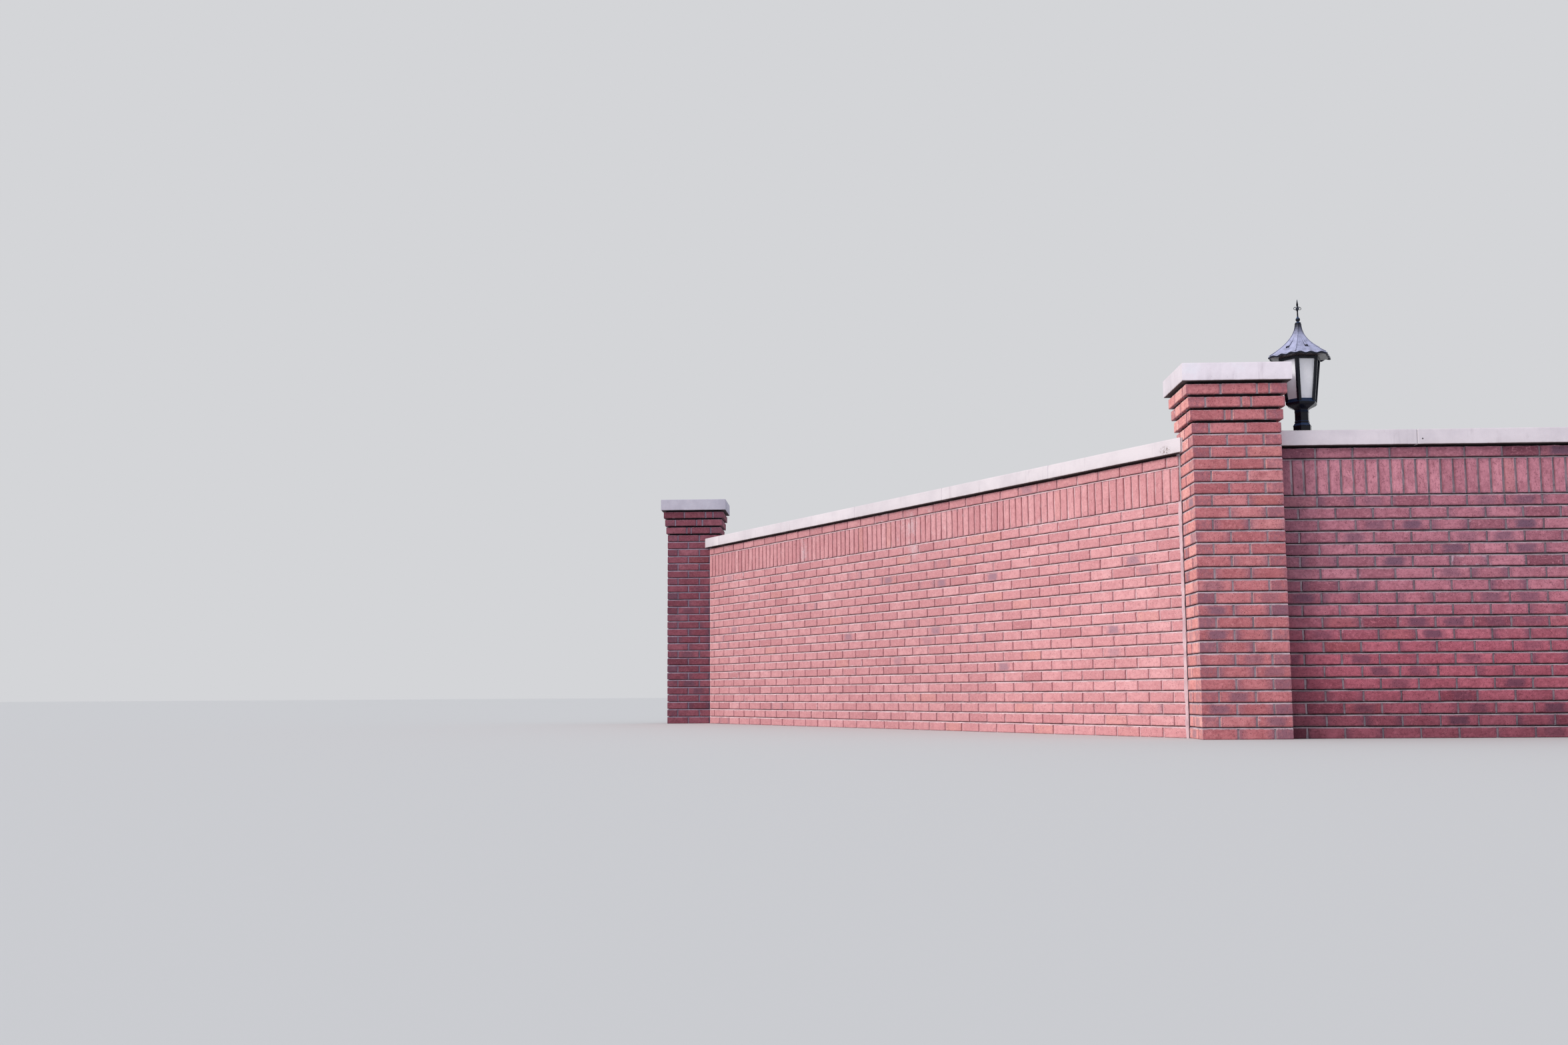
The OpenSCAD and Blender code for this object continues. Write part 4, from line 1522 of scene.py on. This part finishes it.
def turned(points: Array, centre: Array, angle: float) -> Array:
    """Turns points about the upright axis through zero and moves them to the given centre.

    Args:
        points: The points, of any shape that ends in three.
        centre: Where zero goes.
        angle: The turn, in radians.
    Returns:
        The points in their new place.
    """
    c, s = math.cos(angle), math.sin(angle)
    x, y = points[..., 0], points[..., 1]
    return np.stack([x * c - y * s, x * s + y * c, points[..., 2]], -1) + centre


def lathe(profile: Array, around: int) -> Array:
    """Rings of a turned shape: at each row of radius and height, a circle of the given number of points.

    Args:
        profile: Rows of radius and height.
        around: Points to a circle.
    Returns:
        Points, (rows, around, 3).
    """
    a = np.linspace(0, 2 * math.pi, around, endpoint=False)[None]
    r = profile[:, :1]
    return np.stack([r * np.cos(a), r * np.sin(a), profile[:, 1:] + 0 * a], -1)


def six_rings(profile: Array, per_side: int, drop: Array | None = None) -> Array:
    """Rings of a six-sided shape, whose first corner lies on the X axis.

    At each row of corner distance and height the ring runs straight from corner to corner, with the same
    number of points to each side, and is lowered by drop where given.

    Args:
        profile: Rows of corner distance and height.
        per_side: Points to each side.
        drop: How far each point is lowered, (rows, points).
    Returns:
        Points, (rows, 6 * per_side, 3).
    """
    a = np.arange(7) * math.pi / 3
    corner = np.stack([np.cos(a), np.sin(a)], 1)
    share = (np.arange(per_side) / per_side)[None, :, None]
    ring = (corner[:-1, None] * (1 - share) + corner[1:, None] * share).reshape(-1, 2)
    z = profile[:, 1:] + np.zeros(6 * per_side)
    if drop is not None:
        z = z - drop
    return np.concatenate([ring[None] * profile[:, :1, None], z[..., None]], -1)


def six_sided(profile: Array, closed: bool = False) -> Shell:
    """Shell of a six-sided shape with four points to each side."""
    return six_rings(profile, 4), tube_faces(len(profile), 24, closed)


def carried(path: Array, section: Array) -> Array:
    """Carries a section along a path in the upright plane through the axis.

    The first number of a section point goes along the path's normal in that plane, the second square to it.

    Args:
        path: Rows of distance from the axis and height.
        section: Points of the section, (around, 2), or one for each row, (rows, around, 2).
    Returns:
        Points, (rows, around, 3).
    """
    way = np.gradient(path, axis=0)
    way = way / np.linalg.norm(way, axis=1)[:, None]
    section = np.broadcast_to(section, (len(path),) + section.shape[-2:])
    x = path[:, :1] + way[:, 1:] * section[..., 0]
    z = path[:, 1:] - way[:, :1] * section[..., 0]
    return np.stack([x, section[..., 1], z], -1)


def round_section(radius: Array, around: int) -> Array:
    """Circle of each given radius, as a section."""
    a = np.linspace(0, 2 * math.pi, around, endpoint=False)
    return np.asarray(radius)[..., None, None] * np.stack([np.cos(a), np.sin(a)], -1)


@dataclass
class Lantern:
    """Six-sided post lantern: foot, swept cup, leaning bars, swept scalloped roof with louvres, finial.

    Each size across is the distance from the axis to a corner.
    """
    centre: Array
    turn: float
    neck_top: float
    cup_top: float
    body_top: float
    peak: float
    tip: float
    low_r: float
    high_r: float
    eaves_r: float
    top_r: float = 17 * MM
    bar: float = 14 * MM
    eaves_h: float = 12 * MM

    @staticmethod
    def from_frame(turn: float) -> "Lantern":
        """Reads the lantern's axis, heights and sizes from its CAD nodes; a box is two corners wide.

        Args:
            turn: Its turn about the axis, in radians.
        Returns:
            The lantern.
        """
        foot, cup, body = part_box("lantern_foot"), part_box("lantern_cup"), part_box("lantern_frame")
        roof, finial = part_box("lantern_roof"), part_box("lantern_finial")
        base = foot[0][2]
        centre = np.array([(foot[0][0] + foot[1][0]) / 2, (foot[0][1] + foot[1][1]) / 2, base])
        heights = (level - base for level in (cup[0][2], body[0][2], roof[0][2], roof[1][2], finial[1][2]))
        radii = ((high[0] - low[0]) / (2 * math.cos(turn)) for low, high in (cup, body, roof))
        return Lantern(centre, turn, *heights, *radii)

    def put(self, name: str, shells: list[Shell], smooth: bool = False) -> bpy.types.Object:
        """Joins shells drawn about zero, turns them with the lantern and puts them on its axis."""
        points, blocks = join_shells(shells)
        return put_mesh(name, turned(points, self.centre, self.turn), blocks, smooth)

    def sixths(self, points: Array, first: float) -> list[Shell]:
        """Six copies of a tube round the axis, the first one turned by the given angle."""
        faces = tube_faces(points.shape[0], points.shape[1])
        return [(turned(points, np.zeros(3), first + k * math.pi / 3), faces) for k in range(6)]

    def foot(self) -> bpy.types.Object:
        """Plinth with a sloping shoulder, a ring and a straight neck: rows of corner distance and height.

        Returns:
            The piece.
        """
        rows = np.array([[2, 0], [53, 0], [54, 1], [54, 8], [52.5, 10], [52.5, 40], [54, 42], [54, 44],
                         [53, 45.5], [46.5, 55], [45.5, 57], [42.5, 59], [42.5, 62], [44, 63.5], [44, 69],
                         [42.5, 70.5], [41, 72], [41, 118], [42.5, 120], [43, 122], [42, 124.6],
                         [2, 125]]) * MM
        rows[:, 1] *= self.neck_top / rows[-1, 1]
        return self.put("lantern_foot_cast", [six_sided(rows)])

    def cup(self) -> bpy.types.Object:
        """Swept cup: a bead, then an ogee from the neck out to the sill.

        Returns:
            The piece.
        """
        u = np.linspace(0, 1, 11)
        sweep = np.stack([40.5 + 50.5 * (1 - np.cos(math.pi * u)) / 2, 7 + 37 * u], 1)
        bead = [[2, 0], [39, 0], [42, 1.5], [42.5, 4], [41, 6]]
        rows = np.concatenate([bead, sweep, [[91, 46], [2, 46]]]) * MM
        rows[:, 0] *= self.low_r / (91 * MM)
        rows[:, 1] *= (self.cup_top - self.neck_top) / rows[-1, 1]
        return self.put("lantern_cup_cast", [six_sided(rows + [0, self.neck_top])])

    def body(self) -> bpy.types.Object:
        """Sill that slopes up to the panes, six leaning corner bars round the panes, and the rail above.

        Returns:
            The piece.
        """
        low, high, tall = self.low_r, self.high_r, self.body_top - self.cup_top
        under = tall - self.bar
        sill = np.array([[8 * MM, 0.2 * MM], [low, 0.2 * MM], [low + 0.6 * MM, 1.5 * MM], [low, 4 * MM],
                         [low - 9.5 * MM, 22.5 * MM], [low - 10.5 * MM, 23.8 * MM], [8 * MM, 23.8 * MM]])
        rail = np.array([[high - 16 * MM, under], [high - 2 * MM, under], [high - 1 * MM, under + 1 * MM],
                         [high, tall - 0.8 * MM], [high - 1 * MM, tall - 0.2 * MM],
                         [high - 16 * MM, tall - 0.2 * MM]])
        up = np.array([0.0, self.cup_top])
        z = np.linspace(8 * MM, tall - 1 * MM, 8)
        corner = low + (high - low) * z / tall
        angle_bar = np.array([[0, 0.8], [-7, 12.1], [-16.2, 6.8], [-12.6, 0], [-16.2, -6.8], [-7, -12.1],
                              [0, -0.8]]) * MM
        bars = self.sixths(carried(np.stack([corner, z + self.cup_top], 1), angle_bar), 0.0)
        return self.put("lantern_body_bars", [six_sided(sill + up), six_sided(rail + up, closed=True), *bars])

    def roof_r(self, u: Array) -> Array:
        """Corner distance of the roof at share u of its height, as the square of what is left above."""
        return self.top_r + (self.eaves_r - self.top_r) * (1 - u) ** 2

    def roof(self) -> list[bpy.types.Object]:
        """Swept roof: scalloped eaves and skin in one shell, a bead along each hip, and the soffit under it.

        The eaves hang by 3.8 mm times the cosine of three waves to a side, which fades out up the roof.

        Returns:
            The roof and the soffit.
        """
        tall = self.peak - self.body_top - self.eaves_h
        u = np.concatenate([np.linspace(0.012, 0.2, 7), np.linspace(0.25, 1, 14)])
        edge = self.eaves_r
        under = np.array([[10 * MM, 6 * MM], [edge - 12 * MM, 6 * MM], [edge - 8 * MM, 3.5 * MM],
                          [edge - 3 * MM, 3 * MM], [edge - 0.5 * MM, 5 * MM], [edge, 8 * MM],
                          [edge, 12 * MM]])
        outer = np.stack([self.roof_r(u), self.eaves_h + tall * u], 1)
        rows = np.concatenate([under, outer, [[2 * MM, self.peak - self.body_top]]]) + [0, self.body_top]
        fade = np.concatenate([[0, 0, 0.9, 1, 1, 1, 1], np.exp(-u / 0.09), [0]])
        per_side = 24
        wave = np.cos(6 * math.pi * np.arange(6 * per_side) / per_side)
        points = six_rings(rows, per_side, fade[:, None] * (3.8 * MM * wave + 0.6 * MM))
        v = np.linspace(0.02, 0.99, 18)
        hip = np.stack([self.roof_r(v), self.body_top + self.eaves_h + tall * v], 1)
        beads = self.sixths(carried(hip, round_section(np.full(18, 2.2 * MM), 8)), 0.0)
        inner = edge - 13 * MM
        board = np.array([[8 * MM, 0.3 * MM], [self.high_r, 0.3 * MM], [inner, 4.5 * MM], [inner, 6.5 * MM],
                          [8 * MM, 6.5 * MM]]) + [0, self.body_top]
        soffit = self.put("lantern_soffit", [six_sided(board)])
        skin = (points, tube_faces(len(rows), 6 * per_side))
        return [self.put("lantern_roof_sheet", [skin, *beads]), soffit]

    def louvres(self) -> bpy.types.Object:
        """Tear-drop vent on each face of the roof: a hood that widens and rises from its tip to its mouth.

        At share a from tip to mouth it is 9 mm times a to the 0.8 wide to each side and 10 a mm high. Two
        more rings go back inside and make the mouth hollow.

        Returns:
            The piece.
        """
        tall = self.peak - self.body_top - self.eaves_h
        a = np.array([0.02, 0.1, 0.22, 0.36, 0.5, 0.66, 0.82, 1.0, 1.0, 0.72])
        shrink = np.array([1, 1, 1, 1, 1, 1, 1, 1, 0.78, 0.66])
        flank = math.cos(math.pi / 6)
        u = 0.60 - 0.39 * a
        path = np.stack([self.roof_r(u) * flank, self.body_top + self.eaves_h + tall * u], 1)
        outwards = np.stack([np.full(len(u), tall), 2 * flank * (self.eaves_r - self.top_r) * (1 - u)], 1)
        normal = outwards / np.linalg.norm(outwards, axis=1)[:, None]
        arc = np.linspace(0, math.pi, 9)
        width, rise = (9 * a ** 0.8 * shrink * MM)[:, None], (10 * a * shrink * MM)[:, None]
        out = np.concatenate([rise * np.sin(arc), np.full((len(a), 3), -2 * MM)], 1)
        side = np.concatenate([width * np.cos(arc), width * np.array([-0.9, 0, 0.9])], 1)
        points = np.stack([path[:, :1] + normal[:, :1] * out, side, path[:, 1:] + normal[:, 1:] * out], -1)
        return self.put("lantern_louvres", self.sixths(points, math.pi / 6), True)

    def finial(self) -> bpy.types.Object:
        """Turned finial with a collar, a ball and a spear tip, and four scrolls, each a shrinking spiral.

        Returns:
            The piece.
        """
        rows = np.array([[2, -3], [15, -3], [16.5, -1], [16.5, 3], [14, 5], [8, 7], [7, 10], [9, 13],
                         [12.4, 17], [13, 21], [11.5, 26], [7.5, 30], [4.8, 34], [4.2, 44], [3.8, 60],
                         [4.2, 67], [6, 71], [7.2, 76], [6, 81], [3.6, 85], [3.2, 89], [4.8, 94], [6, 100],
                         [5, 108], [3, 118], [1.2, 127], [0.2, 129.8]]) * MM
        stretch = (self.tip - self.peak) / rows[-1, 1]
        rows[:, 1] *= stretch
        shells = [(lathe(rows + [0, self.peak], 28), tube_faces(len(rows), 28))]
        t = np.linspace(0, 1, 26)
        angle, radius = math.radians(215) - t * math.radians(430), (10.5 - 6 * t) * MM
        middle = self.peak + 79 * MM * stretch
        path = np.stack([13.5 * MM + radius * np.cos(angle), middle + radius * np.sin(angle)], 1)
        curl = carried(path, round_section((2.1 - 0.9 * t) * MM, 8))
        faces = tube_faces(len(t), 8)
        shells += [(turned(curl, np.zeros(3), k * math.pi / 2), faces) for k in range(4)]
        return self.put("lantern_finial_cast", shells, True)

    def build(self) -> None:
        """Makes the lantern's pieces in the CAD nodes' place; the panes stay as CAD gives them, in opal."""
        paint, roof = PAINT.material(), ROOF_PAINT.material()
        dress(self.foot(), paint, "black_metal", "lantern_foot")
        dress(self.cup(), paint, "black_metal", "lantern_cup")
        dress(self.body(), paint, "black_metal", "lantern_frame")
        sheet, soffit = self.roof()
        dress(sheet, roof, "black_metal", "lantern_roof")
        dress(soffit, SOFFIT_PAINTED_BOUNCE.material(), "black_metal", "lantern_roof")
        dress(self.louvres(), roof, "black_metal", "lantern_roof")
        dress(self.finial(), paint, "black_metal", "lantern_finial")
        finish_node("lantern_panes", OPAL.material())


def finish_node(node: str, material: bpy.types.Material) -> None:
    """Gives a CAD node that keeps its shape its material.

    Args:
        node: Name of the node.
        material: Its material.
    """
    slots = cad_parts[node].data.materials
    slots.clear()
    slots.append(material)


def smeared_joint(name: str, face: WallFace, top: float, seed: int) -> bpy.types.Object:
    """Mortar smeared over the sealed joint and the brick ends beside it.

    A flat ring of eight points is carried up the joint; its outer edge wanders from 3 to 15 mm past the first
    bricks by smooth noise, and its face swells by a millimetre.

    Args:
        name: Piece name.
        face: The bay's face, whose start is the edge of the joint.
        top: Height of the smear's top.
        seed: Random seed.
    Returns:
        The piece.
    """
    rows = 170
    z = np.linspace(0.0, top, rows)[:, None]
    zero = np.zeros_like(z)
    reach = (8 + 4.5 * wave_field(z / 0.045, zero, seed) + 3 * wave_field(z / 0.013, zero, seed + 1)) * MM
    share = np.array([0, 0.25, 0.6, 0.9, 1.0, 1.0, 0.5, 0])[None]
    front = np.array([-1.6, 0.6, 1.4, 1.2, 0.2, -6, -7, -7])[None] * MM
    inner = -face.start + 3 * MM + 1.5 * MM * wave_field(z / 0.03, zero, seed + 2)
    s = face.start + inner + share * (reach - inner)
    ripple = wave_field(z / 0.022, share * 4.0, seed + 3) * 0.5 * MM * (front > -3 * MM)
    piece = put_mesh(name, face.world(s, z + 0 * share, front + ripple), tube_faces(rows, 8))
    # Painted shade and soiling along the smear's back and edges.
    give_attribute(piece, "joint_shade_and_soiling", np.tile([0.95, 0.2, 0, 0, 0.1, 0.5, 0.5, 0.9], rows))
    return piece


# Scene

def put_turned(name: str, data: bpy.types.ID, axes: tuple[Array, ...],
               at: tuple[float, ...]) -> bpy.types.Object:
    """Puts a camera or a lamp into the scene at a point, turned so that its own axes are the given three.

    Args:
        name: Object name.
        data: The camera or the lamp.
        axes: Where its X, Y and Z axes point.
        at: Where it stands.
    Returns:
        The object.
    """
    thing = bpy.data.objects.new(name, data)
    bpy.context.scene.collection.objects.link(thing)
    turn = np.eye(4)
    turn[:3] = np.stack([*axes, at], 1)
    thing.matrix_world = Matrix(turn.tolist())
    return thing


@dataclass(frozen=True)
class View:
    """The photograph's camera, from its place and its turn in three angles."""
    eye: tuple[float, float, float]
    heading: float
    pitch: float
    roll: float
    lens: float

    def build(self) -> None:
        """Makes the camera and sets it as the scene's own."""
        forward_h = np.array([math.sin(self.heading), math.cos(self.heading), 0.0])
        right = np.array([math.cos(self.heading), -math.sin(self.heading), 0.0])
        forward = math.cos(self.pitch) * forward_h + math.sin(self.pitch) * UP
        up = -math.sin(self.pitch) * forward_h + math.cos(self.pitch) * UP
        axis_x = math.cos(self.roll) * right + math.sin(self.roll) * up
        axis_y = -math.sin(self.roll) * right + math.cos(self.roll) * up
        data = bpy.data.cameras.new("photo_camera")
        data.lens = self.lens
        data.sensor_width = 36.0
        data.clip_end = 400.0
        bpy.context.scene.camera = put_turned("photo_camera", data, (axis_x, axis_y, -forward), self.eye)


@dataclass(frozen=True)
class Studio:
    """Plain pale floor, one broad lamp from the left, and an even sky."""
    sun_strength: float
    sky_strength: float
    floor: tuple[float, float, float]
    backdrop: tuple[float, float, float]

    def build(self) -> None:
        """Makes floor, lamp and world, and sets the plain view transform."""
        half = 150.0
        points = half * np.array([[-1, -1, 0], [1, -1, 0], [1, 1, 0], [-1, 1, 0]])
        low = points - [0, 0, 0.2]
        faces = tube_faces(2, 4)
        floor = put_mesh("floor", np.concatenate([low, points]), faces)
        g = Graph("floor_plain")
        floor.data.materials.append(g.finish(self.floor, 0.95, specular=0.1))
        lamp = bpy.data.lights.new("sun", "SUN")
        lamp.energy = self.sun_strength
        lamp.angle = math.radians(24)
        lamp.color = (1.0, 0.965, 0.915)
        towards = np.array([-0.79, -0.35, 0.50])
        towards = towards / np.linalg.norm(towards)
        side = np.cross(UP, towards)
        side = side / np.linalg.norm(side)
        put_turned("sun", lamp, (side, np.cross(towards, side), towards), (0.0, 0.0, 0.0))
        world = bpy.data.worlds.new("studio")
        world.use_nodes = True
        bpy.context.scene.world = world
        nodes, links = world.node_tree.nodes, world.node_tree.links
        sky = nodes["Background"]
        sky.inputs["Color"].default_value = (0.93, 0.97, 1.05, 1.0)
        sky.inputs["Strength"].default_value = self.sky_strength
        plain = nodes.new("ShaderNodeBackground")
        plain.inputs["Color"].default_value = linear(self.backdrop)
        path = nodes.new("ShaderNodeLightPath")
        seen = path.outputs["Is Camera Ray"]
        for ray in ("Is Glossy Ray", "Is Transmission Ray"):
            either = nodes.new("ShaderNodeMath")
            either.operation = "MAXIMUM"
            links.new(seen, either.inputs[0])
            links.new(path.outputs[ray], either.inputs[1])
            seen = either.outputs[0]
        blend = nodes.new("ShaderNodeMixShader")
        for socket, output in zip(blend.inputs, (seen, sky.outputs[0], plain.outputs[0])):
            links.new(output, socket)
        links.new(blend.outputs[0], nodes["World Output"].inputs["Surface"])
        bpy.context.scene.view_settings.view_transform = "Standard"


def coping_limits(first: float, last: float, start: object, stop: object) -> list[tuple[object, object]]:
    """Start and end of each stone of a bay, from the joints at their spacing.

    Args:
        first: Middle of the first joint.
        last: Where the far pier's face is.
        start: Where the first stone starts: a distance or a function of the offset across the wall.
        stop: Where the last stone ends.
    Returns:
        Pairs of start and end, measured from the corner pier's centre.
    """
    at = np.arange(first, last - STONE_JOINT - SEAL_W, STONE_PITCH)
    starts = [start] + [float(a + STONE_JOINT / 2) for a in at]
    stops = [float(a - STONE_JOINT / 2) for a in at] + [stop]
    return list(zip(starts, stops))


def build_bays(plan: Plan) -> None:
    """Builds both bays.

    Args:
        plan: The wall's layout.
    """
    canted = (plan.canted_face(1), plan.canted_face(-1))
    straight = (plan.straight_face(1), plan.straight_face(-1))
    Bay("canted", canted, WallFinish.CANTED_SUNLIT, first_even=BRICK_L, first_odd=97 * MM, soldier_first=63 * MM,
        crown_first=97 * MM, seed=100, flashed=0.03, ledge=(0.48, 0.74)).build()
    Bay("straight", straight, WallFinish.STRAIGHT_SHADED, first_even=87 * MM, first_odd=BRICK_L, soldier_first=58 * MM,
        crown_first=BRICK_L, seed=200, flashed=0.24, ledge=(0.42, 0.62), head_lift=0.38).build()


def build_piers(plan: Plan) -> None:
    """Builds the three piers, whose heads step out by the same amount with each course.

    Args:
        plan: The wall's layout.
    """
    low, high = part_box("corner_pier_corbel")
    step = ((high[0] - low[0]) - plan.pier_w) / 2 / HEAD_COURSES
    size = (plan.pier_w, plan.pier_d)
    Pier("corner", plan.corner, size, step, WallFinish.CORNER, seed=300, flashed=0.34).build()
    Pier("far", plan.far, size, step, WallFinish.FAR_SHADED, seed=400, flashed=0.20).build()
    Pier("end", plan.end, size, step, WallFinish.CORNER, seed=500, flashed=0.34).build()


def build_copings(plan: Plan) -> None:
    """Builds the coping of each bay, to the section of the straight one.

    Args:
        plan: The wall's layout.
    """
    low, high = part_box("straight_coping_stones")
    section = {"width": high[1] - low[1], "low": low[2], "high": high[2]}
    near, far = plan.straight_reach()
    limits = coping_limits(near + 760 * MM, far, near + SEAL_W, far - SEAL_W)
    Coping("straight", plan.corner, RIGHT, FRONT, 0.0, limits, seed=600,
           **section).build("straight_coping_stones")
    outer = plan.canted_shift + plan.bay_t / 2
    near, far = float(plan.canted_start(outer, 0.0)), float(plan.canted_end(outer, 0.0))
    limits = coping_limits(near + 1184 * MM, far, lambda v: plan.canted_start(v, SEAL_W),
                           lambda v: plan.canted_end(v, SEAL_W))
    Coping("canted", plan.corner, plan.along, plan.outward, plan.canted_shift, limits, seed=700,
           **section).build("canted_coping_stones")


def main() -> None:
    """Builds the camera, the wall part by part, and then the floor and the light."""
    logging.basicConfig(level=logging.INFO, format="%(message)s")
    plan = Plan.from_frame()
    eye = tuple(plan.corner + np.array([-2.15686, -8.85394, 0.25629]))
    View(eye, heading=-0.03925, pitch=0.10902, roll=-0.00623, lens=36.134).build()
    build_bays(plan)
    build_piers(plan)
    build_copings(plan)
    seal, fill = SEALANT.material(), JOINT_FILL.material()
    for bay in ("canted", "straight"):
        finish_node(f"{bay}_bay_near_seal", seal)
        finish_node(f"{bay}_bay_far_seal", seal)
        finish_node(f"{bay}_coping_joints", fill)
    smear = smeared_joint("canted_near_joint_smear", plan.canted_face(1), FIELD_TOP - 4 * MM, 800)
    dress(smear, SMEAR.material(), "sealant")
    Lantern.from_frame(math.radians(7)).build()
    Studio(sun_strength=2.0, sky_strength=0.69, floor=(206, 206, 207), backdrop=(212, 213, 216)).build()


if __name__ == "__main__":
    main()
